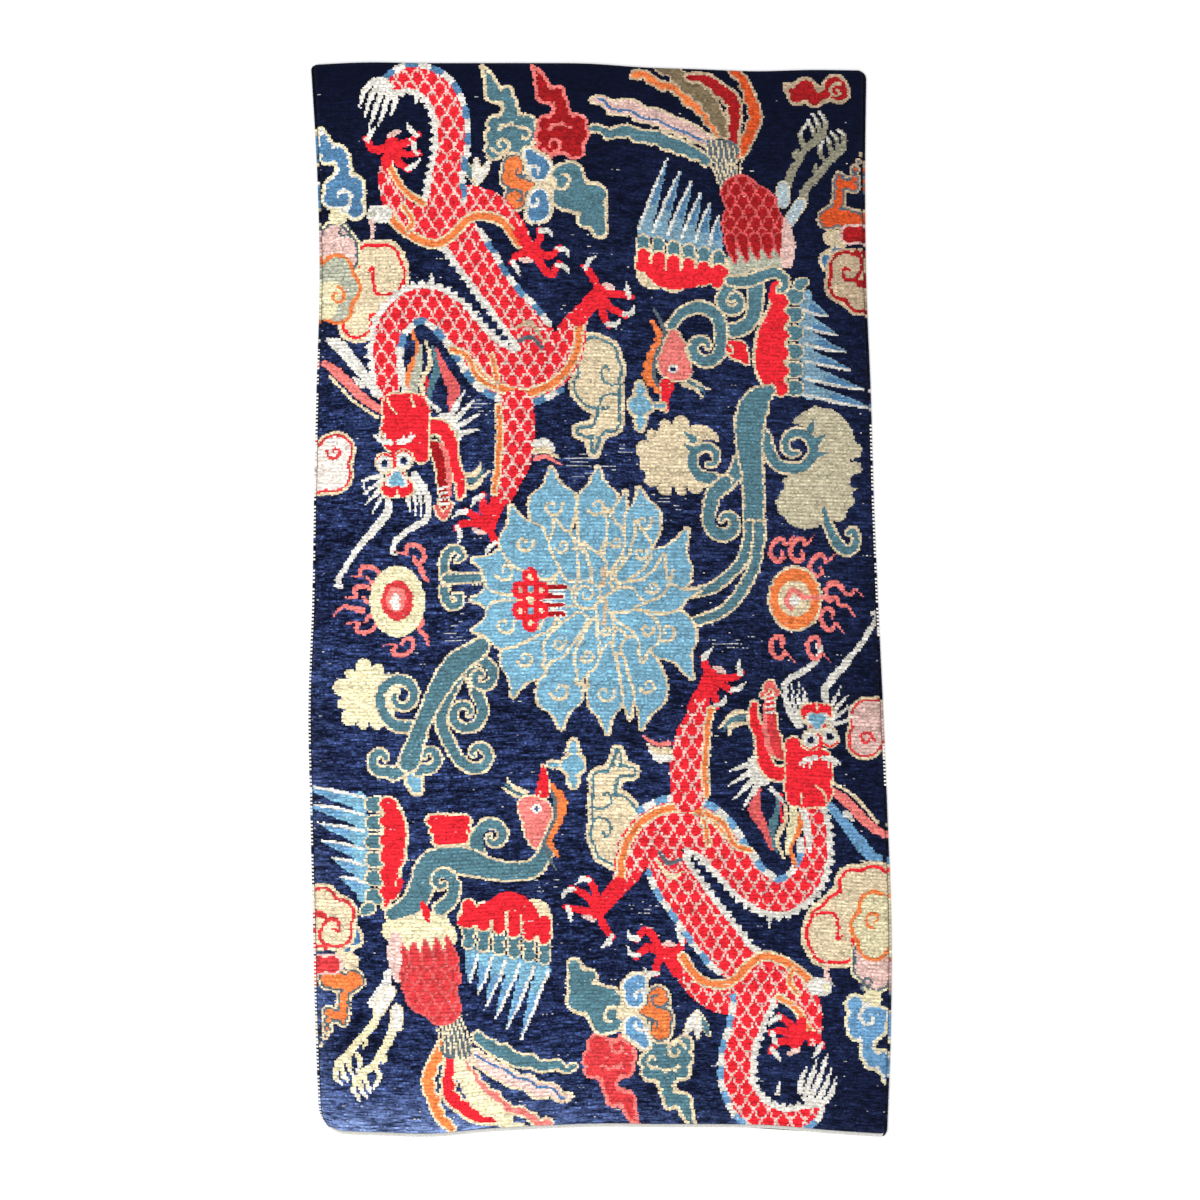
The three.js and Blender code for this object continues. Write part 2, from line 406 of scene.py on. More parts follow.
def mane(pen):
    """The strands behind the head: two horns to the upper left, and hair that rises inside the neck."""
    horn = AZURE if pen.swaps else IVORY
    for rows, widths, yarn in (
            (((-438, 412), (-420, 404), (-388, 366), (-356, 326)), (10, 20, 17, 12), horn),
            (((-396, 352), (-384, 342)), (5, 12), IVORY),
            (((-446, 376), (-420, 358), (-384, 322), (-356, 302)), (10, 15, 15, 12), CORAL),
            (((-436, 356), (-396, 314), (-360, 290)), (5, 5, 5), CREAM),
            (((-326, 402), (-320, 362), (-312, 326)), (5, 14, 12), IVORY),
            (((-303, 428), (-294, 395), (-308, 366), (-308, 340)), (5, 8, 9, 8), ORANGE),
            (((-288, 405), (-294, 370), (-300, 345), (-298, 325)), (5, 14, 14, 12), SAGE),
            (((-282, 413), (-273, 382), (-286, 350), (-286, 328)), (4, 8, 8, 6), CREAM),
            (((-280, 354), (-276, 312)), (4, 8), RED),
            (((-270, 402), (-262, 372), (-272, 340), (-275, 316)), (4, 14, 10, 7), TEAL),
            (((-264, 400), (-250, 362), (-236, 334), (-244, 300)), (3, 14, 20, 3), ROSE),
            (((-282, 322), (-262, 302)), (5, 8), IVORY)):
        pen.line(rows, widths, yarn)
    pen.blob([(-250, 284, 13), (-240, 268, 13), (-234, 258, 10)], IVORY)
    for k, reach in enumerate((58, 60, 56, 46)):
        angle = np.radians(60 - 15 * k)
        out = np.array([np.cos(angle), np.sin(angle)])
        root = np.array([-246 + 2 * k, 284 - 8 * k])
        pen.line((root, root + 0.5 * reach * out, root + reach * out), (11, 8, 2), IVORY)
    for k, yarn in enumerate((CREAM, TEAL, CREAM)):
        pen.line(((-222, 178 + 9 * k), (-202, 180 + 10 * k), (-180 - 6 * k, 204 + 6 * k)), (6, 10, 3), yarn)


def dragon_head(pen):
    """The mask seen from above, in its own frame: the origin lies between the eyes, the snout is down."""
    pen = pen.at(-332, 222)
    upper = ((40, 40), (58, 52), (76, 50), (90, 30), (96, -6), (106, -34), (106, -58))
    pen.line(upper, (20, 22, 22, 20, 16, 15, 9), RED, CREAM, 4)
    pen.line(((58, 26), (68, 18), (76, -10), (80, -44), (80, -84)), (10, 18, 20, 17, 10), CRIMSON, CREAM, 3)
    pen.line(((74, 24), (84, 8), (88, -30), (88, -62)), (6, 9, 9, 5), CORAL)
    for k in range(4):
        pen.line(((74, -46 - 9 * k), (86, -44 - 9 * k)), 4, IVORY)
    pen.line(((66, -70), (80, -92), (92, -72)), (5, 9, 5), ROSE, CREAM, 3)
    pen.line(((53, 4), (60, -22), (62, -66)), (7, 10, 14), GROUND)
    pen.blob([(0, 82, 22), (22, 86, 24), (40, 76, 19), (34, 52, 24), (0, 52, 24), (-4, 98, 9), (44, 96, 9),
              (40, 28, 18), (44, 6, 14), (18, 24, 16), (-4, 28, 16)], RED, CREAM, 3)
    pen.line(((-10, 98), (-6, 84), (4, 74)), 3.5, CREAM)
    pen.line(((27, 102), (31, 86)), 3.5, CREAM)
    pen.line(((-22, -26), (-50, -36), (-42, -60)), (9, 4, 2), IVORY)
    beards = (
        (-1, ((18, -34), (34, -44), (50, -56))), (-1, ((18, -40), (32, -58), (46, -72))),
        (-1, ((14, -46), (24, -66), (36, -88))), (1, ((26, -40), (34, -66), (34, -94))),
        (1, ((30, -36), (42, -60), (44, -92))), (1, ((22, -52), (24, -72), (26, -84))))
    for side, strand in beards:
        chin = pen.at(0, 0, flip=side < 0)
        chin.line(strand, (9, 6, 2), IVORY)
    pen.line(np.concatenate([((-10, -60), (-10, -84), (-36, -116), (-64, -150), (-84, -182)),
                             spiral(-84, -200, 8, 150, 0.5, 4)]), (9, 15, 9, 9, 9, 7, 4), IVORY)
    pen.line(np.concatenate([((32, -26), (48, -46), (56, -78), (52, -96), (28, -110), (4, -128)),
                             spiral(4, -148, 8, 130, 0.55, 4)]), (14, 11, 10, 9, 9, 7, 4), IVORY)
    pen.blob([(2, -22, 15), (-8, -46, 15), (18, -46, 15), (5, -40, 20)], RED, CREAM, 3.5)
    pen.blob([(3, -20, 8), (-6, -36, 9), (14, -36, 9)], IVORY)
    pen.blob([(3, -24, 5), (-3, -36, 6), (11, -36, 6)], SKY)
    pen.line(((4, -50), (5, -60)), 5, CREAM)
    for x, y in ((-16, -5), (15, 0)):
        pen.oval(x, y, 16, 18, CREAM)
        pen.line(((x - 12, y + 8), (x, y + 15), (x + 12, y + 8)), 2.5, RED)
        pen.oval(x, y - 1, 12, 13, IVORY)
        pen.oval(x, y - 1, 5.5, 6, GROUND)
    pen.line(((0, 26), (-1, 6), (1, -8)), 6, RED)
    for side in (-1, 1):
        brow = pen.at(0, 0, flip=side < 0)
        brow.line(((6, 28), (20, 30), (33, 38)), (8, 8, 3), IVORY)
        for k in range(2):
            brow.line(((14 + 10 * k, 30), (15 + 11 * k, 44)), (6, 2), IVORY)


# The clouds


# x, y, radius of the lobes of a flame-tailed cloud, from its head to the tip of its tail
FLAME_HEAD = (
    (-27, -17, 17), (-28, 6, 16), (-26, 27, 14), (-8, 34, 13), (0, 2, 25), (20, -14, 18), (28, 10, 18),
    (28, 28, 15), (12, 32, 13), (0, 46, 15), (-1, 60, 13),
)
FLAME_TAIL = (
    (-5, 76, 12), (-16, 70, 13), (-28, 74, 15), (-31, 88, 13), (-35, 100, 10), (-40, 109, 7),
    (-46, 118, 4),
)


def flame_cloud(pen, yarn, *rims, curl=CREAM, twin=True):
    """A knobbly head with a curl or two, a hump above it, and a tail that turns aside and up to a point."""
    pen.blob(FLAME_HEAD + FLAME_TAIL, yarn, *rims, soft=2.5)
    pen.curl(-14, -8, 17, 200, 1.05, 6, curl)
    if twin:
        pen.line(spiral(22, 8, 13, 100, -0.7, 6), (6, 6, 4), curl)


def teal_flame(pen):
    """The flame cloud nearer the dragon."""
    flame_cloud(pen.at(-144, 734), TEAL, CREAM, 5, curl=CREAM)


def red_flame(pen):
    """The flame cloud nearer the phoenix, with one curl."""
    flame_cloud(pen.at(-62, 734), CRIMSON, CORAL, 5, curl=CORAL, twin=False)


# x, y, radius of each cloud's lobes
ORANGE_CLOUD = ((-139, 693, 21), (-146, 672, 17), (-128, 661, 17), (-112, 660, 12), (-136, 640, 21))
BLUE_FLAME = (
    (-450, 749, 7), (-446, 737, 11), (-443, 722, 16), (-440, 709, 16), (-422, 712, 16), (-415, 700, 15),
    (-413, 685, 14), (-415, 668, 19), (-430, 658, 18), (-432, 640, 19), (-418, 636, 16),
    (-396, 662, 18), (-394, 645, 17), (-394, 622, 18), (-408, 650, 17),
)
RIGHT_FLAME = (
    (370, 608, 20), (378, 618, 15), (396, 608, 19), (412, 606, 17), (385, 634, 13), (386, 648, 12.5),
    (388, 664, 14), (386, 676, 8), (400, 664, 12), (410, 659, 12), (411, 672, 10), (412, 686, 8.5),
    (416, 699, 6), (422, 711, 3.5),
)
CURL_CLOUDS = (
    ((-114, 712, 14), (-106, 700, 15), (-96, 692, 20), (-97, 682, 18)),
    ((-98, 641, 20), (-96, 622, 21), (-104, 616, 18)),
)
TEAL_CLOUD = (
    (-62, 678, 19), (-45, 682, 19), (-40, 664, 20), (-60, 646, 20), (-56, 640, 19), (-34, 640, 24),
    (-12, 647, 20), (-2, 646, 15), (-8, 622, 20), (-2, 602, 15), (0, 588, 13), (-24, 606, 14),
)
CREAM_CLOUD = (
    (-10, 400, 27), (8, 390, 28), (14, 366, 29), (-14, 372, 30), (-20, 340, 30), (8, 340, 32),
    (13, 318, 27), (-12, 324, 26), (14, 296, 25), (18, 280, 21), (2, 282, 18), (-4, 268, 18),
    (-20, 267, 16), (-32, 268, 14), (-8, 252, 14), (-9, 242, 12), (-9, 234, 10),
)
PINK_CLOUD = ((-428, 578, 27), (-412, 562, 26), (-440, 548, 30), (-408, 540, 22))
SAGE_CLOUD = ((-424, 524, 28), (-410, 496, 26), (-424, 464, 26), (-458, 490, 44))
PEACH_CLOUD = (
    (-372, 545, 30), (-346, 545, 30), (-336, 526, 28), (-332, 514, 25), (-378, 492, 48),
    (-392, 440, 32), (-340, 494, 25),
)
PALE_CLOUD = ((-426, 236, 32), (-430, 198, 32), (-462, 202, 38), (-452, 228, 20))
SMALL_CLOUD = (
    (332, 815, 20), (318, 803, 14), (348, 799, 14), (362, 806, 11), (380, 820, 20), (388, 808, 17),
    (309, 813, 8), (301, 822, 5),
)
TAN_CLOUD = ((396, 532, 30), (392, 502, 30), (420, 480, 28), (430, 530, 32))
BLOCK_CLOUD = ((404, 583, 17), (426, 583, 17), (442, 583, 17))


def edge_clouds_left(pen):
    """Four clouds and a blue flame in a column at the rug's edge. The second peach cloud is taller."""
    peach = pen.at(0, -12) if pen.swaps else pen
    upper = ((-424, 434, 32), (-446, 448, 34)) if pen.swaps else ()
    peach.blob(PEACH_CLOUD + upper, CREAM, CREAM, 7, RED, 5)
    peach.line(((-372, 524), (-366, 528), (-366, 506), (-361, 489), (-346, 486), (-332, 489)), 5, RED)
    pen.blob(PINK_CLOUD, PINK, BUTTER, 4, SLATE, 4)
    pen.curl(-414, 588, 12, 60, -0.9, 4, SLATE)
    pen.blob(SAGE_CLOUD, SAGE, ORANGE, 6)
    pen.blob([(-432, 488, 20), (-440, 460, 14)], BUTTER)
    pen.curl(-424, 484, 15, 90, -1.0, 5, ORANGE)
    pen.blob([(-422, 612, 15)], BUTTER)
    pen.blob(BLUE_FLAME, STEEL, BUTTER, 3.5, IVORY, 2.5, soft=2.5)
    curl = (-416, 619), (-405, 629), (-402, 643), (-411, 653), (-422, 650), (-423, 642)
    pen.line(curl, (7, 6, 6, 6, 6, 4), IVORY)


def pale_cloud(pen):
    """A pale cloud with one curl, cut by the rug's edge."""
    pen.blob(PALE_CLOUD, SHELL, CREAM, 4, BRICK, 4)
    pen.curl(-428, 234, 13, 170, 1.0, 5, BRICK)


def edge_clouds_right(pen):
    """An orange flame over a row of blocks and a tan cloud, at the rug's edge."""
    pen.blob([(366, 543, 13), (384, 556, 14), (368, 532, 10)], BLUE, CREAM, 5)
    pen.blob([(374, 578, 13), (390, 574, 13)], CREAM)
    pen.blob(RIGHT_FLAME, RUST, SAND, 3, SLATE, 3, soft=2.0)
    pen.blob(BLOCK_CLOUD, CRIMSON, PINK, 4)
    pen.blob(TAN_CLOUD, SAND, SAND, 5, CRIMSON, 5)
    curl = (414, 556), (424, 536), (414, 512), (396, 512), (394, 528), (404, 526)
    pen.line(curl, (6, 6, 6, 6, 5, 4), CRIMSON)


def small_cloud(pen):
    """A small red cloud in the corner."""
    pen.blob(SMALL_CLOUD, CRIMSON, SAND, 5)
    pen.curl(382, 812, 13, 60, 1.0, 5, SAND)


def cloud_cluster(pen):
    """Teal, orange and two blue clouds round a pale middle, and a shoot of three blades beside them."""
    pen.blob(TEAL_CLOUD, TEAL, CREAM, 5)
    pen.line(((-78, 663), (-63, 655), (-51, 662), (-51, 676), (-60, 679)), (6, 6, 6, 6, 4), CREAM)
    pen.blob([(-112, 668, 14), (-82, 664, 14)], CREAM)
    pen.blob(ORANGE_CLOUD, ORANGE, CREAM, 3.5, SLATE, 3)
    pen.line(((-118, 700), (-115, 684), (-124, 675), (-134, 679), (-134, 687)), (5, 5, 5, 5, 4), SLATE)
    pen.line(((-150, 650), (-138, 655), (-127, 649), (-127, 639), (-135, 637)), (5, 5, 5, 5, 4), SLATE)
    for lobes, (x, y, side) in zip(CURL_CLOUDS, ((-116, 689, 1), (-117, 631, -1))):
        pen.blob(lobes, STEEL, CREAM, 4, IVORY, 3)
        curl = (x, y), (x + 10, y + 3 * side), (x + 17, y - 2 * side), (x + 16, y - 10 * side)
        pen.line(curl, (7, 6, 6, 4), IVORY)
    for yarn, heading in ((TEAL, 118), (IVORY, 90), (IVORY, 60)):
        pen.line(joints((-199, 664), (heading, 20), (heading, 20)), (6, 13, 3), yarn, CREAM, 2)


def cream_cloud(pen):
    """A tall pale cloud with two curls that open to the right."""
    pen.blob(CREAM_CLOUD, CREAM, CREAM, 6, TEAL, 4, soft=3.0)
    pen.line(((36, 343), (18, 342), (5, 350), (3, 364), (10, 372), (15, 365)), 4, TEAL)
    pen.line(((34, 325), (18, 328), (4, 321), (1, 309), (7, 302), (13, 306)), 4, TEAL)


def cross_cloud(pen):
    """Four knobs round a middle, and a short arm."""
    pen.line(((80, 309), (102, 308)), 7, SKY, CREAM, 4)
    knobs = ((65, 308, 20), (57, 309, 14), (74, 309, 14), (65, 332, 12),
             (65, 284, 12), (65, 342, 8), (65, 273, 8))
    pen.blob(knobs, SKY, CREAM, 5, soft=2.5)


# The phoenix


# base, tip, bow, waves, widths, yarn, rim and its width of each ribbon, and a thin line along it: its
# yarn, side and width
RIBBONS = (
    ((172, 704), (-20, 750), -14, 4, (12, 18, 16, 12, 4), TEAL, CREAM, 4),
    ((176, 734), (-12, 798), -8, 4, (15, 21, 19, 20, 5), PINK, CREAM, 4, (BLUE, 1, 4)),
    ((192, 746), (58, 840), -16, 3, (6, 8, 8, 8, 8), ORANGE, SAND, 4),
    ((203, 750), (98, 852), -14, 2, (16, 20, 22, 19, 12), TAN, SAND, 3),
    ((216, 730), (144, 836), -36, 2, (10, 15, 18, 16, 5), CRIMSON, SAND, 5),
    ((228, 712), (214, 848), -30, 2, (12, 14, 14, 12, 8), RUST, SAND, 4),
)


def streamer(pen, base, tip, bow, waves, widths, yarn, rim, rim_width, inner=None):
    """A tail ribbon from base to tip. It leaves the straight line by a bow of half a sine and by small
    waves that grow towards the tip."""
    t = np.linspace(0, 1, 4 * waves + 1)
    base, tip = np.array(base, float), np.array(tip, float)
    step = tip - base
    square = np.array([-step[1], step[0]]) / np.hypot(*step)
    off = bow * np.sin(np.pi * t) + 4.5 * t * np.sin(2 * np.pi * waves * t)
    points = base + t[:, None] * step + off[:, None] * square
    pen.line(points, widths, yarn, rim, rim_width, teeth=(1, 24, 4))
    if inner:
        path = smooth(with_widths(points, widths))
        pen.line(beside(path, inner[1], 4, end=0.96)[::4], inner[2], inner[0])


def ribbons(pen, shorter=0.0):
    """The phoenix's six tail ribbons. The first two, the long ones, may be shorter."""
    for k, (base, (x, y), *rest) in enumerate(RIBBONS):
        streamer(pen, base, (x + shorter * (k < 2), y), *rest)


def tail_fan(pen):
    """The roots of the ribbons: pale ribs that spread from the rump, on a dark patch."""
    pen.blob([(186, 718, 15), (206, 716, 18), (202, 690, 17), (204, 668, 14)], SLATE)
    for k in range(7):
        pen.line(((196 + 5 * k, 656 + 3 * k), (180 + 8 * k, 695), (168 + 9.5 * k, 740 - 3.2 * k)), 3.4, CREAM)
    pen.curl(210, 690, 8, 0, 1, 3.5, CREAM)


def phoenix_body(pen):
    """A scaly body with a fringe of pointed plumes over a pale breast. The second bird's breast is
    broader, and has no eye on it."""
    lobes = (226, 648, 31), (254, 628, 33), (238, 600, 42), (262, 596, 36), (240, 578, 28)
    knots = pen.blob(lobes, CRIMSON, ROSE, 3)
    pen.scales(knots, ROSE, 21, 18, 1.4)
    pen.blob([(228, 536, 25), (250, 536, 26), (276, 542, 22)], SAGE)
    if pen.swaps:
        pen.blob([(306, 526, 18), (290, 516, 20), (262, 512, 20), (234, 514, 18)], SAGE)
    for k in range(5):
        plume = (210 + 20 * k, 576), (213 + 19.5 * k, 560), (219 + 18 * k, 538 + 3 * k)
        pen.line(plume, (16, 12, 1), CRIMSON, ROSE, 3)
    pen.line(((300, 606), (304, 570), (302, 538)), (8, 23, 20), PINK)
    if not pen.swaps:
        pen.oval(257, 518, 8, 12, IVORY)
        pen.oval(257, 517, 6, 10, RED)


# thigh, shank and spur of each leg, and its four toes by root, middle and tip
LEGS = (
    (((296, 634), (296, 658)),
     ((300, 656), (310, 684), (322, 704), (334, 722), (352, 734), (362, 744)),
     (320, 702),
     (((328, 728), (324, 742), (333, 759)), ((348, 739), (345, 749), (337, 765)),
      ((356, 746), (353, 759), (344, 775)), ((362, 748), (365, 761), (355, 779)))),
    (((306, 604), (324, 632)),
     ((326, 632), (333, 656), (352, 676), (376, 706), (390, 718), (394, 730)),
     (352, 678),
     (((360, 704), (355, 718), (361, 732)), ((374, 714), (371, 728), (367, 738)),
      ((384, 722), (382, 737), (374, 747)), ((394, 728), (394, 742), (385, 751)))),
)


def phoenix_legs(pen):
    """Two thin legs with a pale thigh, a spur at the shank and four toes that rise from a slanting sole."""
    if pen.swaps:
        pen.line(((310, 574), (316, 596), (334, 622)), (12, 17, 16), HAZE)
    for thigh, shank, spur, toes in LEGS:
        pen.line(shank, (15, 14, 12, 12, 12, 9), MOSS)
        pen.line(thigh, (17, 17), HAZE, CREAM, 2)
        x, y = spur
        pen.line(((x, y), (x - 5, y + 8), (x - 2, y + 16)), (8, 8, 5), MOSS)
        for root, middle, tip in toes:
            pen.line((root, middle, tip), (8, 8, 5), MOSS)
            pen.line((middle, tip), (3, 5), IVORY)


def feathers(pen, first, last, tips, widths, edge):
    """Long flight feathers. Roots run evenly between two places, and each tip has its own place."""
    roots = np.linspace(first, last, len(tips))
    for root, end in zip(roots, np.array(tips, float)):
        middle = (root + end) / 2
        step = (end - root) / np.hypot(*(end - root))
        aside = edge * 0.36 * widths[0] * np.array([-step[1], step[0]])
        pen.line((root, middle, end), widths, MIST)
        pen.line((middle - 10 * step, end - 8 * step), (widths[1] * 0.8, 3), STEEL)
        pen.line((root + aside, middle + 0.7 * aside, end), (5, 5, 3), IVORY)


def coverts(pen, first, last, count, out, reds, rise=0.0):
    """Two rows of short feathers: teal ones with pale rims, and nearer the bird red lobes that rise from
    a red band. out is the step from the red row to the teal one, and rise stretches the two rows."""
    out = np.array(out, float)
    places = np.linspace(first, last, count)
    for at in places:
        pen.blob([(*at, 12), (*(at - (0.5 + 0.3 * rise) * out), 12)], TEAL, CREAM, 3, soft=2.0)
    for at in places:
        pen.line((at - (0.9 + 0.6 * rise) * out, at - (1.6 + rise) * out), (19, 21), RED, CREAM, 3)
    pen.line(*reds, RED)


def left_wing(pen):
    """The second bird's wing has its red band farther from the feathers."""
    rise = 1.0 if pen.swaps else 0.0
    body = np.array([(76, 545, 20), (85, 522, 26), (120, 515, 26), (150, 522, 24), (190, 528, 22)], float)
    pen.blob(body - (0, 18 * rise, 0), CREAM)
    tips = ((108, 703), (130, 686), (148, 668), (163, 650), (177, 632), (192, 612))
    pen.line(((68, 592), (120, 584), (190, 566)), (16, 26, 16), MIST)
    feathers(pen, (72, 590), (186, 564), tips, (24, 15, 3), 1)
    band = np.array([(78, 528), (100, 513), (130, 510), (166, 515), (200, 519)], float)
    band -= np.outer((0, 20, 28, 14, 6), (0, rise))
    coverts(pen, (70, 573), (192, 547), 6, (0, 25), (band, (18, 27, 30, 26, 20)), 0.7 * rise)


# height and width of the right wing's red band
RED_BAND = ((498, 12), (470, 24), (445, 36), (420, 46), (398, 50), (375, 50), (352, 40), (334, 18))


def right_wing(pen):
    """The second bird's red band is narrower."""
    tips = ((368, 452), (384, 422), (398, 394), (404, 366), (428, 334), (440, 304))
    pen.line(((334, 484), (336, 400), (338, 326)), (18, 22, 18), MIST)
    feathers(pen, (334, 470), (334, 334), tips, (25, 16, 3), -1)
    slim = 0.76 if pen.swaps else 1.0
    band = np.array([(304 - slim * width / 2, y, slim * width) for y, width in RED_BAND])
    pen.line(band[:, :2] - (3, 0), band[:, 2] + 8, CREAM)
    for k in range(6):
        at = np.array([317, 484 - 29.5 * k])
        pen.blob([(*at, 13.5), (*(at - (8, 0)), 13.5)], TEAL, CREAM, 3, soft=2.0)
    for k in range(6):
        pen.line(((286, 478 - 28 * k), (294, 476 - 28 * k)), (20, 21), RED, CREAM, 3)
    pen.line(band[:, :2] - (4, 0), band[:, 2] - 4, RED)
    pen.blob([(322, 502, 11), (332, 508, 7)], TEAL, CREAM, 3)


def scroll(pen, points, winding, widths):
    """A stem: teal with pale rims. winding is the spiral that it ends in, if any."""
    if winding:
        points = np.concatenate([points, spiral(*winding)])
    pen.line(points, widths, TEAL, CREAM, 4)


def phoenix_neck(pen):
    """The first phoenix's neck: three bands, two of which end in a curl, and a red comma."""
    scroll(pen, ((214, 506), (204, 492)), (216, 476, 20, 170, 0.9), (15, 12, 10, 7))
    scroll(pen, ((248, 512), (252, 484), (246, 450), (228, 432), (204, 428)), None, (26, 22, 20, 19, 18))
    scroll(pen, ((114, 436), (134, 458), (166, 466), (192, 446)), (168, 402, 28, 10, -1.0),
           (12, 16, 17, 16, 13, 10, 6))
    scroll(pen, ((210, 508), (240, 508), (266, 518), (284, 522), (298, 512), (298, 498), (288, 494)), None,
           (12, 16, 14, 13, 11, 9, 5))
    pen.line(((278, 484), (280, 500), (288, 506)), (10, 8, 5), RED)
    pen.blob([(213, 403, 11), (226, 402, 12), (231, 390, 10), (217, 394, 11), (237, 379, 7)], RED, CREAM, 3)
    pen.curl(209, 396, 8, 90, -0.7, 3.5, CREAM)


def low_neck(pen):
    """The second phoenix's neck: one broad band with a curl at each bend, and a red flag."""
    for yarn, border in ((CREAM, 8), (RED, 0)):
        for k in range(3):
            pen.line(((252 - 5 * k, 382 + 15 * k), (200, 383 + 14 * k)), 18 + border, yarn)
    pen.curl(195, 399, 9, -90, -0.8, 4, CREAM)
    scroll(pen, ((180, 438), (181, 414)), (154, 408, 24, -10, -1.0), (24, 18, 14, 12, 8, 4))
    neck = ((317, 532), (300, 524), (282, 512), (267, 482), (256, 454), (228, 445), (197, 448),
            (162, 459), (122, 464), (88, 458), (67, 430))
    scroll(pen, neck, None, (20, 26, 34, 36, 38, 38, 40, 30, 26, 25, 20))
    scroll(pen, ((240, 524), (222, 508), (217, 486)), (236, 481, 18, 175, 0.95), (20, 16, 14, 11, 8, 4))
    pen.line(((304, 480), (308, 494), (318, 500)), (12, 10, 6), RED)
    pen.line(((268, 514), (264, 528), (260, 542)), (6, 13, 6), RED)


def phoenix_head(pen):
    """A round pink head with a toothed orange comb behind it, an eye, three wattles and a beak."""
    comb = (88, 442), (98, 415), (82, 380), (78, 355), (95, 332)
    pen.line(comb, (4, 12, 14, 13, 5), ORANGE, teeth=(-1, 15, 4))
    pen.line(((87, 464), (105, 425), (90, 385), (88, 355), (99, 335)), (4, 7, 7, 7, 4), SLATE)
    for k, yarn in enumerate((CREAM, TEAL, CREAM)):
        wattle = (136, 350 - 4 * k), (155, 346 - 6 * k), (176 - 5 * k, 334 - 7 * k)
        pen.line(wattle, (9, 6, 3), yarn)
    pen.blob([(119, 424, 10), (121, 402, 20), (118, 376, 27), (132, 364, 18)], CORAL, CREAM, 3)
    pen.oval(118, 368, 9, 7, IVORY)
    pen.oval(118, 368, 4.5, 3.5, GROUND)
    pen.line(((106, 346), (104, 324), (107, 300)), (14, 11, 4), RED, CREAM, 2)
    pen.line(((118, 344), (112, 326), (109, 304)), (8, 6, 4), RED)


# The lotus, its stems and the pearls


# yarn, place, two half widths, count of the scallops of each leaf, and lobes inside it
HEAD_LEAVES = (
    (CREAM, (124, 226, 54, 54), 13, ((124, 228, 50), (160, 244, 34), (160, 205, 28), (98, 222, 34))),
    (LINEN, (354, 208, 58, 86), 19,
     ((354, 248, 56), (358, 190, 54), (334, 155, 44), (352, 275, 24), (304, 152, 20))),
)
FOOT_LEAF = (BUTTER, (-376, -156, 42, 46), 11, ((-374, -156, 42), (-352, -150, 30)))


def leaf(pen, yarn, ring, count, lobes):
    """A leaf with a scalloped rim: lobes, and a ring of small ones along an oval, at even angles."""
    x, y, half_width, half_length = ring
    angle = 2 * np.pi * np.arange(count) / count
    rim = np.column_stack([x + half_width * np.cos(angle), y + half_length * np.sin(angle),
                           11 + 3 * np.sin(5 * angle)])
    pen.blob(np.concatenate([lobes, rim]), yarn, soft=1.0)


def head_stem(pen):
    """The stem towards the head end: two leaves with dark gaps, curls with thorns, and a broad stalk
    that parts in two thin ones."""
    for row in HEAD_LEAVES:
        leaf(pen, *row)
    pen.blob([(412, 187, 8), (420, 188, 12)], GROUND)
    pen.blob([(176, 226, 28)], GROUND)
    gap = (310, 244, 36), (288, 250, 22), (280, 228, 16), (302, 212, 14), (286, 198, 12), (278, 186, 8)
    pen.blob(gap, GROUND)
    scroll(pen, ((362, 144), (372, 110), (388, 82), (405, 77), (414, 91), (410, 108), (401, 105)), None,
           (6, 12, 14, 12, 10, 8, 5))
    scroll(pen, ((232, 226), (216, 196), (196, 178)), (174, 222, 32, -75, -1.05),
           (22, 18, 16, 13, 10, 8, 4))
    scroll(pen, ((202, 184), (182, 164), (178, 138)), (203, 122, 26, 175, 0.95), (22, 19, 18, 14, 10, 5))
    scroll(pen, ((264, 262), (278, 226)), (316, 242, 38, 235, 1.15), (16, 15, 15, 12, 9, 5))
    for k in range(3):
        angle = np.radians(-20 + 34 * k)
        thorn = pen.at(316 + 34 * np.cos(angle), 242 + 36 * np.sin(angle), -20 + 34 * k)
        thorn.line(((0, 0), (16, 8)), (12, 2), TEAL)
    for k in range(2):
        pen.line(((150, 236 + 18 * k), (136, 246 + 20 * k)), (12, 2), TEAL)
    scroll(pen, ((276, 334), (256, 318), (242, 286), (242, 240), (246, 200), (249, 150), (250, 92)), None,
           (12, 38, 44, 38, 32, 30, 30))
    scroll(pen, ((243, 116), (240, 90), (226, 54), (184, 18), (134, 6)), None, (16, 15, 14, 13, 12))
    scroll(pen, ((258, 116), (256, 90), (246, 42), (205, -16), (134, -44)), None, (16, 15, 14, 13, 12))


def foot_stem(pen):
    """The stem towards the foot end: a leaf, a bud, curls on both sides, and the stalk over them."""
    leaf(pen, *FOOT_LEAF)
    pen.blob([(-300, -290, 16), (-296, -306, 12)], SKY, CREAM, 5)
    scroll(pen, ((-300, -205), (-330, -204)), (-322, -158, 36, 215, -1.15), (16, 14, 13, 10, 5))
    scroll(pen, ((-308, -262), (-330, -282)), (-352, -258, 22, -60, -0.8), (18, 13, 11, 6))
    scroll(pen, ((-302, -262), (-292, -276)), (-278, -254, 22, 240, 0.8), (18, 13, 11, 6))
    scroll(pen, ((-228, -120), (-256, -190), (-236, -245)), (-198, -250, 26, 215, 0.95),
           (18, 15, 14, 12, 9, 5))
    scroll(pen, ((-212, -108), (-192, -170)), (-218, -184, 29, 0, -1.05), (18, 14, 12, 9, 5))
    scroll(pen, ((-198, -92), (-176, -112)), (-192, -126, 20, 20, -0.9), (15, 12, 9, 5))
    scroll(pen, ((-192, -78), (-240, -115), (-282, -190), (-308, -262)), None, (26, 34, 22, 30))


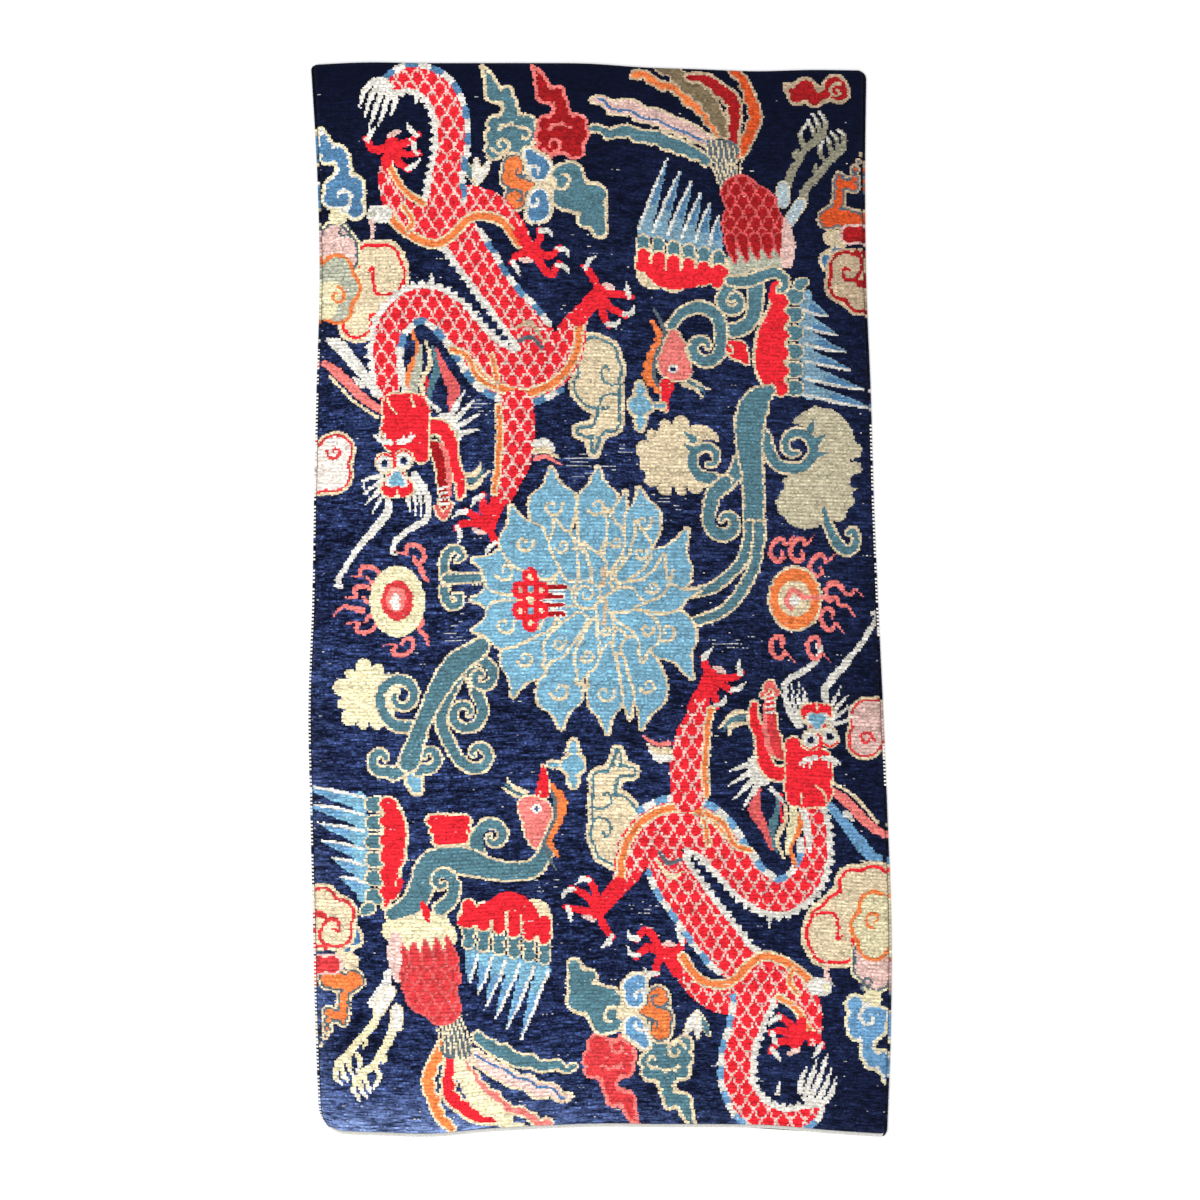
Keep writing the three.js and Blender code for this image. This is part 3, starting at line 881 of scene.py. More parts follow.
# Petals of the lotus, the outer ones first: root, middle and tip as x and y, breadth, and radius of the
# curl at the middle, which is negative where it winds clockwise
PETALS = (
    ((-130, 0), (-170, 0), (-206, -2), 46, 0), ((-84, 88), (-76, 146), (-79, 206), 78, -17),
    ((-14, 90), (-4, 148), (-4, 208), 66, 16), ((18, 84), (32, 130), (41, 172), 26, 0),
    ((56, 66), (70, 122), (63, 176), 60, -15), ((44, 26), (102, 38), (140, 108), 84, -17),
    ((40, -26), (108, -54), (148, -126), 84, 18), ((54, -80), (78, -140), (68, -208), 62, 14),
    ((30, -96), (42, -150), (49, -192), 26, 0), ((4, -80), (8, -152), (12, -215), 58, -17),
    ((-48, -80), (-64, -148), (-62, -207), 76, 17), ((-88, -46), (-120, -96), (-140, -156), 78, 15),
    ((-96, -32), (-154, -42), (-203, -52), 78, -17), ((-96, 34), (-152, 44), (-202, 62), 76, 17),
    ((-86, 54), (-122, 88), (-142, 146), 76, -16), ((48, 0), (104, -2), (160, 12), 46, 0),
    ((-46, 40), (-60, 84), (-72, 124), 42, 12), ((8, 46), (26, 90), (12, 140), 32, 10),
    ((36, 34), (66, 72), (60, 122), 36, -12), ((38, 12), (86, 18), (104, 68), 40, 12),
    ((34, -26), (76, -50), (68, -100), 42, -12), ((-4, -44), (-20, -92), (-34, -136), 40, 12),
    ((-34, -36), (-66, -72), (-90, -108), 42, -12), ((-44, 0), (-84, 2), (-100, -46), 42, 0),
    ((12, -10), (42, -2), (70, -6), 42, 0), ((2, -14), (10, -52), (2, -84), 30, 9),
    ((-6, 24), (-2, 52), (-26, 86), 28, 0),
)


def lotus(pen):
    """Petals from the outermost in. Each is broad to its shoulder, and then draws in to a thin point."""
    pen.oval(-20, 0, 118, 112, SKY)
    profile = np.array((0.62, 0.74, 0.84, 0.93, 1.0, 1.04, 1.04, 0.86, 0.4, 0.2, 0.05))
    for root, middle, tip, breadth, curl in PETALS:
        pen.line(smooth((root, middle, tip), 5), profile * (breadth - 8), SKY, CREAM, 5)
        if curl:
            x, y = middle
            pen.curl(x, y, abs(curl), 200 if curl > 0 else 20, 1.0 if curl > 0 else -1.0, 5, CREAM)
    pen.blob([(-22, 6, 25)], SKY, CREAM, 5)
    pen.curl(-22, 6, 17, 200, -1.1, 5, CREAM)
    pen.line(((6, 46), (8, 20)), (8, 6), SAND)
    pen.line(((10, -2), (6, -40)), (6, 7), SAND)


def lotus_button(pen):
    """A red knot of six loops, and four dark bars that run from it."""
    for k in range(4):
        y = 18 - 14.5 * k
        pen.line(((-92, y), (-56 - 4 * (k > 0), y)), (8, 6), CRIMSON, IVORY, 2.5)
    for x, y in ((-112, 34), (-95, 13), (-95, -20), (-112, -40), (-129, -20), (-129, 13)):
        pen.oval(x, y, 13, 15, RED)
        pen.oval(x, y, 4, 5, CREAM)
    pen.oval(-112, -3, 14, 12, RED)
    pen.oval(-112, -3, 6, 7, CREAM)


# one hooked flame, and the places of its copies: x, y, turn and mirroring
HOOK = ((0, -2), (2, 8), (-5, 14), (-14, 10), (-18, 0), (-15, -11), (-6, -20), (2, -19), (7, -11), (20, -26))
WISPS = (
    (294, -76, 0, False), (353, -77, 0, False), (374, -30, 0, False), (294, 74, 180, True),
    (326, 74, 180, True), (357, 48, 170, True), (-372, 32, 225, False), (-380, 0, 232, False),
    (-300, 66, 215, False), (-378, -36, -45, True), (-318, -72, -45, True),
)

# points and widths of the other flames
FLAMES = (
    (((-432, -30), (-416, -14), (-400, -16), (-384, -20)), (2, 6, 7, 11)),
    (((-287, 66), (-290, 48), (-278, 28)), (3, 9, 6)),
    (((-288, -38), (-291, -50), (-280, -62), (-277, -76)), (9, 8, 7, 3)),
    (((365, 2), (367, 16), (378, 25), (389, 18), (398, 6), (407, 6), (413, 14), (425, 2)),
     (8, 8, 10, 8, 7, 5, 4, 2)),
    (((363, 0), (372, -2), (381, 1), (388, -11), (399, -13), (411, -29)), (4, 11, 6, 6, 5, 2)),
)

# x, y, half width, half height and yarn of the pearls' rings, the outer ones first
PEARL_RINGS = (
    (-327, -5, 45, 57, BUTTER), (-327, -4, 26, 32, BRICK), (-329, -2, 16, 21, CORAL),
    (-330, -6, 8, 14, IVORY), (315, -1, 44, 54, CREAM), (315, -1, 40, 49, ORANGE), (315, -1, 27, 29, CREAM),
)


def pearls(pen):
    """Two ringed pearls in flames. The one at the right has a broken ring with a bar."""
    for x, y, turn, flip in WISPS:
        pen.at(x, y, turn, 1.0, flip).line(HOOK, (5, 7, 8, 7, 7, 7, 8, 7, 5, 2), CORAL)
    for points, widths in FLAMES:
        pen.line(points, widths, CORAL)
    for ring in PEARL_RINGS:
        pen.oval(*ring)
    pen.line(((324, 7), (313, 13), (303, 3), (303, -7), (309, -16)), 9, CORAL)
    pen.line(((322, 1), (366, 1)), (9, 3), CORAL)
    pen.oval(315, -4, 9, 8, IVORY)


def bracket(pen):
    """Two curls back to back, and a bar from them to the lotus."""
    widths = (12, 12, 11, 9, 8, 5)
    scroll(pen, ((-248, 26), (-251, 6), (-241, -12), (-227, -9), (-226, 3), (-235, 4)), None, widths)
    scroll(pen, ((-248, 28), (-252, 52), (-245, 73), (-232, 79), (-222, 69), (-229, 60)), None, widths)
    scroll(pen, ((-246, 31), (-196, 32)), None, (13, 13))


# The chart


# motif, and where the second one lies: it is turned half round, so (x, y) comes at (across - x, up - y)
PAIRS = (
    (pale_cloud, 2, 8), (edge_clouds_left, 18, -30), (cream_cloud, 20, -10), (teal_flame, -36, 2),
    (red_flame, -46, 6), (cloud_cluster, -42, 0), (dragon_body, 2, -6), (tail_tuft, -6, 18),
    (dragon_feet, 0, -8), (near_leg, 8, -8), (mane, 14, -4), (dragon_head, 23, -6), (tail_fan, -34, -4),
    (phoenix_legs, -32, -26), (phoenix_body, -28, -6), (left_wing, -20, -4), (right_wing, -50, 6),
    (phoenix_neck, -18, 26), (phoenix_head, 16, 31), (cross_cloud, 22, 42),
    (edge_clouds_right, -28, -4),
)

# a motif whose second copy is drawn otherwise
SECOND = {phoenix_neck: low_neck}
# Yarns of the second copies, which lie towards the foot end: lighter ones. Sky in place of mist removes
# painted shade, since the second phoenix's wings lie where more light falls.
LIGHTER = {CRIMSON: BRICK, TAN: BUTTER, SAGE: BUTTER, MOSS: BUTTER, SAND: CREAM,
           RUST: ORANGE, MIST: SKY, STEEL: AZURE, SHELL: PINK, HAZE: IVORY}
LIGHTER_RIBBONS = {TAN: BUTTER, SAND: CREAM, ORANGE: CORAL, RUST: ORANGE, CRIMSON: RED}
SINGLES = (small_cloud, head_stem, foot_stem, bracket, lotus, lotus_button, pearls)

# where the second tail's ribbons lie, and how much shorter its two long ones are
RIBBONS_TURN = (-26, -2)
RIBBONS_SHORTER = 36


def knot_chart(x, y):
    """The yarn of every knot, from the knots' places in millimetres."""
    chart = np.full(x.size, GROUND)
    pen = Pen(chart, x.ravel(), y.ravel())
    ribbons(pen)
    across, up = RIBBONS_TURN
    ribbons(Pen(chart, across - pen.x, up - pen.y, 1.0, LIGHTER_RIBBONS), RIBBONS_SHORTER)
    for motif, across, up in PAIRS:
        motif(pen)
        SECOND.get(motif, motif)(Pen(chart, across - pen.x, up - pen.y, 1.0, LIGHTER))
    for motif in SINGLES:
        motif(pen)
    return chart.reshape(x.shape)


# The rug's surface


def along(edge, t):
    """One edge's value at t from 0 to 1, a cubic between two of its steps."""
    steps = EDGES[:, edge]
    steps = np.concatenate([[2 * steps[0] - steps[1]], steps, [2 * steps[-1] - steps[-2]]])
    place = np.clip(t, 0, 1) * (len(EDGES) - 1)
    i = np.minimum(place.astype(int), len(EDGES) - 2)
    return cubic(*(steps[i + k] for k in range(4)), place - i)


def rug_place(u, v):
    """x and y at u across, 0 at the left, and v along, 0 at the foot: the edges' values mixed in
    proportion. Inside a corner's radius r, the distances from its two edges become
    r (1 - p sqrt(1 - q q / 2)), where p and q are one less the distances over r."""
    left, right, foot, head = along(LEFT, v), along(RIGHT, v), along(FOOT, u), along(HEAD, u)
    x = left + (right - left) * u
    y = foot + (head - foot) * v
    for on_left, on_foot, radius in CORNERS:
        side = x - left if on_left else right - x
        end = y - foot if on_foot else head - y
        inside = (side < radius) & (end < radius)
        p = np.where(inside, 1 - side / radius, 0)
        q = np.where(inside, 1 - end / radius, 0)
        to_side = radius * (1 - p * np.sqrt(1 - q * q / 2))
        to_end = radius * (1 - q * np.sqrt(1 - p * p / 2))
        x = np.where(inside, left + to_side if on_left else right - to_side, x)
        y = np.where(inside, foot + to_end if on_foot else head - to_end, y)
    return x, y


def outline_centre():
    """The middle of the rug's box, which the part puts at the origin."""
    t = np.linspace(0, 1, 400)
    sides = [rug_place(np.full(400, k), t) for k in (0.0, 1.0)]
    ends = [rug_place(t, np.full(400, k)) for k in (0.0, 1.0)]
    x = np.concatenate([s[0] for s in sides])
    y = np.concatenate([e[1] for e in ends])
    return np.array([(x.min() + x.max()) / 2, (y.min() + y.max()) / 2, 0])


CENTRE = outline_centre()


def hats(count, cells):
    """Weights that spread a few values evenly over many: straight slopes between neighbours."""
    place = np.linspace(0, cells - 1, count)[:, None]
    return np.maximum(1 - np.abs(place - np.arange(cells)), 0)


def drift(rng, rows, columns, cells_up, cells_across):
    """A smooth random field from -1 to 1: random values on a coarse grid, spread by hats."""
    coarse = rng.uniform(-1, 1, (cells_up, cells_across))
    return hats(rows, cells_up) @ coarse @ hats(columns, cells_across).T


def openness(x, y):
    """How far the rows of knots stand apart: fully over most of the rug, and little where the pile is
    thick, beyond a slanting line towards the head and the right."""
    return 1 - 0.75 * np.clip((y + 0.35 * x - 400) / 200, 0, 1)


def pile_top(x, y, height):
    """The pile's height with a faint ripple in the field. The fall at the edges, by a bell curve, is added in
    band.
    """
    wave = 2 * np.pi / RIPPLE_LENGTH
    return height + RIPPLE * np.sin(wave * x + 1) * np.sin(0.7 * wave * y)


def mix(colour, other, share):
    """A colour moved towards another by a share of the way."""
    return colour + (other - colour) * share[..., None]


def linear(colour):
    """Light values of colours from 0 to 1: the screen curve undone."""
    return np.where(colour <= 0.04045, colour / 12.92, ((colour + 0.055) / 1.055) ** 2.4)


# Worn places, where the cotton weft shows between the rows: x, y, half width, half length, wear
WORN = (
    (-20, 215, 60, 34, 0.9), (95, 150, 60, 42, 0.6), (-230, -50, 34, 42, 0.6), (215, -72, 52, 24, 0.7),
    (-40, 580, 34, 26, 0.4), (-40, 468, 34, 22, 0.5), (-215, 466, 70, 40, 0.35),
    (-205, 308, 60, 16, 0.6), (-90, -455, 50, 24, 0.6), (-210, -315, 34, 16, 0.5),
    (-20, -350, 40, 18, 0.5), (80, -500, 40, 30, 0.5), (30, 235, 42, 36, 0.5),
    (-235, 540, 40, 34, 0.25), (190, 140, 40, 40, 0.25), (120, -20, 60, 60, 0.2),
    (-60, -40, 120, 120, 0.22), (-20, 560, 60, 60, 0.2),
)


class Dyeing:
    """The yarn and colour of each face of the pile, a strip of a knot, and what light and wear do to it."""

    def __init__(self, rows, columns, palette):
        rng = np.random.default_rng(SEED)
        lines = np.append(SHOULDERS, 1.0)
        middles = 0.5 * (lines[1:] + lines[:-1])
        v = ((np.arange(rows)[:, None] + middles) / rows).ravel()
        u = (np.arange(columns) + 0.5) / columns
        v, u = np.meshgrid(v, u, indexing="ij")
        count = len(v)
        x, y = rug_place(u, v)
        # Each row of knots lies a little to one side, and each knot covers a little more or less.
        shift = np.repeat(rng.normal(0, 0.7, (rows, 1)), STRIPS, axis=0)
        chart = knot_chart(x + shift + rng.normal(0, 0.35, x.shape), y + rng.normal(0, 0.3, x.shape))
        self.x, self.y, self.chart = x, y, chart
        self.rows, self.columns = rows, columns
        colour = palette[chart]
        row = np.repeat(rng.normal(0, 1, (rows, 1)), STRIPS, axis=0)
        clouds = drift(rng, count, columns, 24, 9)
        streaks = drift(rng, count, columns, rows, 30)
        tuft = drift(rng, count, columns, count, columns // 3)
        grain = rng.normal(0, 1, x.shape)
        # The indigo is darkest at the head and to the right, and has faded to violet blue elsewhere.
        faded = 0.36 + 0.05 * np.exp(-((y - 60) / 200) ** 2) - 0.12 * x / 450 - 0.10 * (x / 450) ** 2
        faded *= np.clip((880 - y) / 600, 0, 1)
        faded = np.clip(faded * (1 + 0.4 * clouds + 0.5 * streaks + 0.9 * tuft + 0.3 * grain), 0, 1)
        # Painted sheen: a streaky lighter blue along the foot end, most to the left, and along the lower part
        # of the left edge, where the pile catches the light.
        painted_sheen = np.exp(-np.clip(y + 850, 0, None) / 40) * np.clip(0.46 - 0.60 * x / 450, 0.08, 1)
        painted_sheen += 0.5 * np.exp(-np.clip(x + 455, 0, None) / 16) * np.clip(-y / 850, 0, 1)
        painted_sheen = np.clip(painted_sheen * (1 + 0.4 * streaks + 0.5 * tuft), 0, 1)
        indigo = mix(mix(colour, FADED_INDIGO, faded), PAINTED_SHEEN_INDIGO, painted_sheen)
        colour = np.where((chart == GROUND)[..., None], indigo, colour)
        tone = 1 + 0.015 * row + 0.03 * clouds + 0.03 * streaks + 0.09 * tuft + 0.10 * grain
        # Painted shade: the light yarns are darkened, the lighter the more, and most towards the head and the
        # right, where less light falls; all yarns are a little darker towards the head.
        painted_shade_share = (0.08 + 0.11 * x / 450 + 0.06 * y / 850) * colour.mean(axis=-1)
        shade = (0.985 - 0.03 * y / 850) * (1 - np.clip(painted_shade_share, 0, 1))
        self.colour = np.clip(colour * (tone * shade)[..., None], 0, 1)
        self.weft = self.worn_weft(rng)

    def worn_weft(self, rng):
        """Where the weft shows above a row. The wear of a place falls off as a bell from its middle,
        and short random runs along the row show where they exceed it."""
        x, y = self.x[STRIPS - 1::STRIPS], self.y[STRIPS - 1::STRIPS]
        wear = 0.09 * openness(x, y)
        for place_x, place_y, half_width, half_length, depth in WORN:
            bell = np.exp(-((x - place_x) / half_width) ** 2 - ((y - place_y) / half_length) ** 2)
            wear = np.maximum(wear, depth * bell)
        runs = 0.5 + 0.5 * drift(rng, self.rows, self.columns, self.rows, 70)
        runs += 0.12 * rng.uniform(-1, 1, x.shape)
        bare = runs > 1.16 - 0.66 * wear - 0.14 * rng.uniform(0, 1, (self.rows, 1))
        weft = np.zeros(self.x.shape, bool)
        weft[STRIPS - 1::STRIPS] = bare
        return weft


# Meshes


def mesh_piece(name, points, faces, colours, maps, material, replaced):
    """A piece from points in millimetres. faces are arrays of corner numbers, one array for each count
    of corners, and the first is shaded smooth. colours has one row for each face, and maps one row for
    each corner."""
    corners = np.concatenate([f.ravel() for f in faces])
    counts = np.concatenate([np.full(len(f), f.shape[1]) for f in faces])
    mesh = bpy.data.meshes.new(name)
    mesh.vertices.add(len(points))
    mesh.vertices.foreach_set("co", (points * MILLIMETRE).astype(np.float32).ravel())
    mesh.loops.add(len(corners))
    mesh.loops.foreach_set("vertex_index", corners.astype(np.int32))
    mesh.polygons.add(len(counts))
    mesh.polygons.foreach_set("loop_start", (np.cumsum(counts) - counts).astype(np.int32))
    mesh.polygons.foreach_set("use_smooth", np.arange(len(counts)) < len(faces[0]))
    mesh.update(calc_edges=True)
    layer = mesh.color_attributes.new(COLOUR_LAYER, "FLOAT_COLOR", "CORNER")
    shown = np.column_stack([linear(colours), np.ones(len(colours))])
    layer.data.foreach_set("color", np.repeat(shown, counts, axis=0).astype(np.float32).ravel())
    uv = mesh.uv_layers.new(name=BAKE_LAYER)
    uv.data.foreach_set("uv", maps.astype(np.float32).ravel())
    mesh.materials.append(material)
    piece = bpy.data.objects.new(name, mesh)
    bpy.context.scene.collection.objects.link(piece)
    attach(piece, "root")
    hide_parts(replaced)
    return piece


RAILS = 9


def plate(x, y, high, low, face_up=True):
    """Points and faces of a closed plate. One face is a grid of quads at the heights high. The other
    is flat, at low: a ladder with a few rails, which keep to the grid's columns. Walls join them. With
    face_up false all is turned over. Faces come as the grid's quads, the other quads, and the polygons
    that close the ladder at its two ends."""
    rows, columns = x.shape
    grid = np.arange(rows * columns).reshape(rows, columns)
    rails = np.linspace(0, columns - 1, RAILS).astype(int)
    kept = np.zeros((rows, columns), bool)
    kept[[0, -1]] = True
    kept[:, rails] = True
    lower = np.full((rows, columns), -1)
    lower[kept] = rows * columns + np.arange(kept.sum())
    top = np.column_stack([x.ravel(), y.ravel(), high.ravel()])
    points = np.concatenate([top, np.column_stack([x[kept], y[kept], np.full(kept.sum(), low)])])
    quads = np.stack([grid[:-1, :-1], grid[:-1, 1:], grid[1:, 1:], grid[1:, :-1]], -1).reshape(-1, 4)
    walls = []
    for upper, under in ((grid[0], lower[0]), (grid[:, -1], lower[:, -1]),
                         (grid[-1, ::-1], lower[-1, ::-1]), (grid[::-1, 0], lower[::-1, 0])):
        walls.append(np.stack([under[:-1], under[1:], upper[1:], upper[:-1]], -1))
    rungs = lower[1:-1, rails]
    ladder = np.stack([rungs[:-1, :-1], rungs[1:, :-1], rungs[1:, 1:], rungs[:-1, 1:]], -1).reshape(-1, 4)
    faces = [quads, np.concatenate([*walls, ladder])]
    for a, b in zip(rails[:-1], rails[1:]):
        faces.append(np.concatenate([[lower[1, a], lower[1, b]], lower[0, a:b + 1][::-1]])[None])
        faces.append(np.concatenate([[lower[-2, b], lower[-2, a]], lower[-1, a:b + 1]])[None])
    if not face_up:
        faces = [f[:, ::-1] for f in faces]
    return points, faces


def bake_map(points, faces):
    """A flat map: the first faces, a grid seen from above, fill the left of the square, and all others
    share a strip at its right, so that they draw over nothing."""
    low, high = points.min(0), points.max(0)
    flat = (points[:, :2] - low[:2]) / (high[:2] - low[:2])
    maps = flat[np.concatenate([f.ravel() for f in faces])]
    shown = np.arange(len(maps)) < faces[0].size
    seen = maps * (0.95, 0.998) + (0.001, 0.001)
    unseen = maps * (0.03, 0.998) + (0.965, 0.001)
    return np.where(shown[:, None], seen, unseen)


def knot_lines(rows, first, last, start):
    """The lines across a band of rows, as v: for each row its near side, and its two shoulders."""
    lines = (np.arange(first, last)[:, None] + np.array(SHOULDERS)).ravel()
    return start + (1 - start) * np.append(lines, last) / rows


# depth and reach of the pile's fall at its sides and at its ends, in millimetres
SIDE_FALL = (3.6, 3.2)
END_FALL = (3.2, 3.4)
KNOT_SCATTER = 0.30
ROW_WANDER = 0.9


def band(name, dyeing, first, last, sizes, material):
    """A band of the pile. Each row of knots is a ridge: it rises from the gap behind it to its
    shoulders and falls to the next gap. Each knot leans and stands a little differently."""
    rows, columns = dyeing.rows, dyeing.columns
    height = sizes.pile_height / MILLIMETRE
    ridge = sizes.ridge_depth / MILLIMETRE
    rng = np.random.default_rng(SEED + first)
    start = (WEB_LENGTH + 0.5) / MIDDLE_LENGTH
    edge = (CORD_WIDTH + 0.2) / MIDDLE_WIDTH
    v = knot_lines(rows, first, last, start)
    u = np.linspace(edge, 1 - edge, columns + 1)
    grid_v, grid_u = np.meshgrid(v, u, indexing="ij")
    x, y = rug_place(grid_u, grid_v)
    count = last - first
    lines = STRIPS * count + 1
    inner = (slice(1, -1), slice(1, -1))
    wander = drift(rng, lines, columns + 1, max(count // 2, 2), 40)
    y[inner] += ROW_WANDER * wander[inner]
    x[inner] += rng.normal(0, KNOT_SCATTER, x.shape)[inner]
    in_gap = (np.arange(lines) % STRIPS == 0)[:, None]
    open_gap = np.clip(0.75 + 0.45 * drift(rng, lines, columns + 1, count + 1, 60), 0, 1.3) * openness(x, y)
    standing = rng.normal(0, KNOT_SCATTER, x.shape) + 0.35 * drift(rng, lines, columns + 1, count, 60)
    # Two bands meet along a line that both work out alike.
    standing[[0, -1]] = 0
    open_gap[[0, -1]] = 0.5
    top = pile_top(x, y, height) - np.where(in_gap, ridge * open_gap, 0) + standing
    side = np.minimum(grid_u - edge, 1 - edge - grid_u) * MIDDLE_WIDTH
    end = np.minimum(grid_v - start, 1 - grid_v) * MIDDLE_LENGTH
    for distance, (fall, reach) in ((side, SIDE_FALL), (end, END_FALL)):
        top -= fall * np.exp(-(distance / reach) ** 2)
    points, faces = plate(x, y, top, PILE_FOOT)
    # The first and last strip of a row slope into the gaps. They get painted shade, deeper where the gap is
    # more open, or show the weft; the middle strip, the ridge's top, gets a faint painted highlight.
    strips = slice(STRIPS * first, STRIPS * last)
    part = np.arange(STRIPS * count)[:, None] % STRIPS
    depth = 0.25 * (open_gap[:-1, :-1] + open_gap[1:, :-1] + open_gap[:-1, 1:] + open_gap[1:, 1:])
    shade = np.where(part == 1, 1.02, 1 - 0.12 * depth)
    knots = dyeing.colour[strips] * shade[..., None]
    bare = mix(knots, COTTON, rng.uniform(0.5, 1.0, shade.shape))
    knots = np.where(dyeing.weft[strips][..., None], bare, knots)
    walls = np.tile(dyeing.colour[strips][0, 0], (sum(len(f) for f in faces[1:]), 1))
    colours = np.clip(np.concatenate([knots.reshape(-1, 3), walls]), 0, 1)
    maps = bake_map(points, faces)
    return mesh_piece(name, points - CENTRE, faces, colours, maps, material, "knotted_field")


def back(dyeing, material):
    """The cotton foundation. On its underside the design shows in the knots' collars, between rows
    of weft."""
    rows, columns = dyeing.rows, dyeing.columns
    rng = np.random.default_rng(SEED + 1000)
    v, u = np.linspace(0.0005, 0.9995, rows + 1), np.linspace(0.002, 0.998, columns + 1)
    grid_v, grid_u = np.meshgrid(v, u, indexing="ij")
    x, y = rug_place(grid_u, grid_v)
    under = 0.25 + 0.22 * rng.uniform(0, 1, x.shape)
    under[1::2] -= 0.15
    under[:, ::2] += 0.12
    points, faces = plate(x, y, under, PILE_FOOT + 0.3, face_up=False)
    showing = dyeing.colour[1::STRIPS] * 0.9
    cotton = 0.26 + 0.10 * drift(rng, rows, columns, rows, 30)
    knots = mix(showing, COTTON, np.clip(cotton, 0, 1))
    walls = np.tile(COTTON * 0.9, (sum(len(f) for f in faces[1:]), 1))
    colours = np.clip(np.concatenate([knots.reshape(-1, 3), walls]), 0, 1)
    maps = bake_map(points, faces)
    return mesh_piece("foundation_back", points - CENTRE, faces, colours, maps, material,
                      "knotted_field")


# lines of thread along and across the strip of web
WEB_THREADS = (9, 490)


def web(material):
    """The strip of plain cotton cloth at the foot end: weft and warp threads in turn stand up."""
    rng = np.random.default_rng(SEED + 2000)
    v = np.linspace(0.0002, (WEB_LENGTH + 2.0) / MIDDLE_LENGTH, WEB_THREADS[0])
    u = np.linspace(0.006, 0.994, WEB_THREADS[1])
    grid_v, grid_u = np.meshgrid(v, u, indexing="ij")
    x, y = rug_place(grid_u, grid_v)
    up, across = np.indices(x.shape)
    top = WEB_HEIGHT - 0.35 + 0.35 * ((up + across // 2) % 2) + rng.normal(0, 0.05, x.shape)
    points, faces = plate(x, y, top, 0.4)
    count = sum(len(f) for f in faces)
    colours = np.clip(COTTON * rng.uniform(0.95, 1.15, (count, 1)), 0, 1)
    maps = bake_map(points, faces)
    return mesh_piece("end_web_foot", points - CENTRE, faces, colours, maps, material,
                      "knotted_field")


# whether the cord is the left one, then from y and to y: where the white weft shows at the outer edge,
# once a row
WEFT_AT_EDGE = {True: ((-853, 330), (345, 400)), False: ((-300, -230), (-60, 280))}
CORD_STATIONS = 4
CORD_SIDES = 12


def cord_map(stations, around):
    """A cord's map: its surface unrolled on the square, and one point for the two ends."""
    u, v = np.meshgrid(np.arange(around + 1) / around, np.linspace(0, 1, stations + 1))
    flat = np.stack([u, v], -1)
    maps = np.stack([flat[:-1, :-1], flat[1:, :-1], flat[1:, 1:], flat[:-1, 1:]], 2).reshape(-1, 2)
    return np.concatenate([maps, np.full((2 * around, 2), 0.5)])


def cord(dyeing, on_left, material):
    """A side cord: a bead with a flat foot, wound with yarn. Its section is an oval whose radius
    swells with each winding, as the size of a sine that leans along the cord."""
    rows = dyeing.rows
    rng = np.random.default_rng(SEED + 3000 + on_left)
    stations, around = rows * CORD_STATIONS, CORD_SIDES
    v = np.linspace(0.0004, 0.9996, stations + 1)[:, None]
    turn = 2 * np.pi * np.arange(around)[None, :] / around
    winding = v * rows + 0.12 * turn
    swell = 1 + 0.09 * np.abs(np.sin(np.pi * winding)) - 0.06 + rng.normal(0, 0.012, (stations + 1, around))
    share = 0.5 + 0.5 * swell * np.cos(turn)
    rise = np.clip(0.5 + 0.5 * swell * np.sin(turn), 0.02, None)
    width = CORD_WIDTH / MIDDLE_WIDTH
    u = width * share if on_left else 1 - width + width * share
    x, y = rug_place(u, v + 0 * u)
    points = np.column_stack([x.ravel(), y.ravel(), (CORD_HEIGHT * rise).ravel()])
    grid = np.arange((stations + 1) * around).reshape(stations + 1, around)
    nearer, beyond = grid[:-1], grid[1:]
    quads = np.stack([nearer, beyond, np.roll(beyond, -1, 1), np.roll(nearer, -1, 1)], -1).reshape(-1, 4)
    faces = [quads, np.array([grid[0], grid[-1][::-1]])]
    phase = (np.arange(stations)[:, None] / CORD_STATIONS + 0 * turn) % 1
    middle = y[:-1].mean(axis=1)[:, None]
    outward = turn if not on_left else turn - np.pi
    outer = np.cos(outward + np.pi / around) > -0.3
    open_rows = sum((middle > low) & (middle < high) for low, high in WEFT_AT_EDGE[on_left]) > 0
    present = rng.uniform(0, 1, (rows, 1)).repeat(CORD_STATIONS, axis=0) < 0.9
    tick = outer & open_rows & present & (phase < 0.5)
    near_edge = dyeing.colour[1::STRIPS, 3 if on_left else -4].repeat(CORD_STATIONS, axis=0)[:, None]
    wool = 0.85 * np.broadcast_to(near_edge, (stations, around, 3))
    # Painted shade and highlight: each winding is darker where it meets the next, and lighter at its crest.
    wool = wool * (0.85 + 0.3 * np.abs(np.sin(np.pi * phase)) + rng.normal(0, 0.05, phase.shape))[..., None]
    white = np.clip(COTTON * rng.uniform(1.0, 1.2, tick.shape)[..., None], 0, 1)
    wool = np.where(tick[..., None], white, wool)
    colours = np.clip(np.concatenate([wool.reshape(-1, 3), wool[:2, 0]]), 0, 1)
    side = "left" if on_left else "right"
    return mesh_piece("selvedge_wound_" + side, points - CENTRE, faces, colours, cord_map(stations, around),
                      material, "selvedge_" + side)


# Materials


def new_material(name):
    """A material with nodes, and its shader."""
    material = bpy.data.materials.new(name)
    material.use_nodes = True
    return material, material.node_tree.nodes["Principled BSDF"]


def add_node(material, kind, **values):
    """A new node of a kind. The inputs of those names, where _ stands for a space, get the values."""
    node = material.node_tree.nodes.new("ShaderNode" + kind)
    for name, value in values.items():
        node.inputs[name.replace("_", " ")].default_value = value
    return node


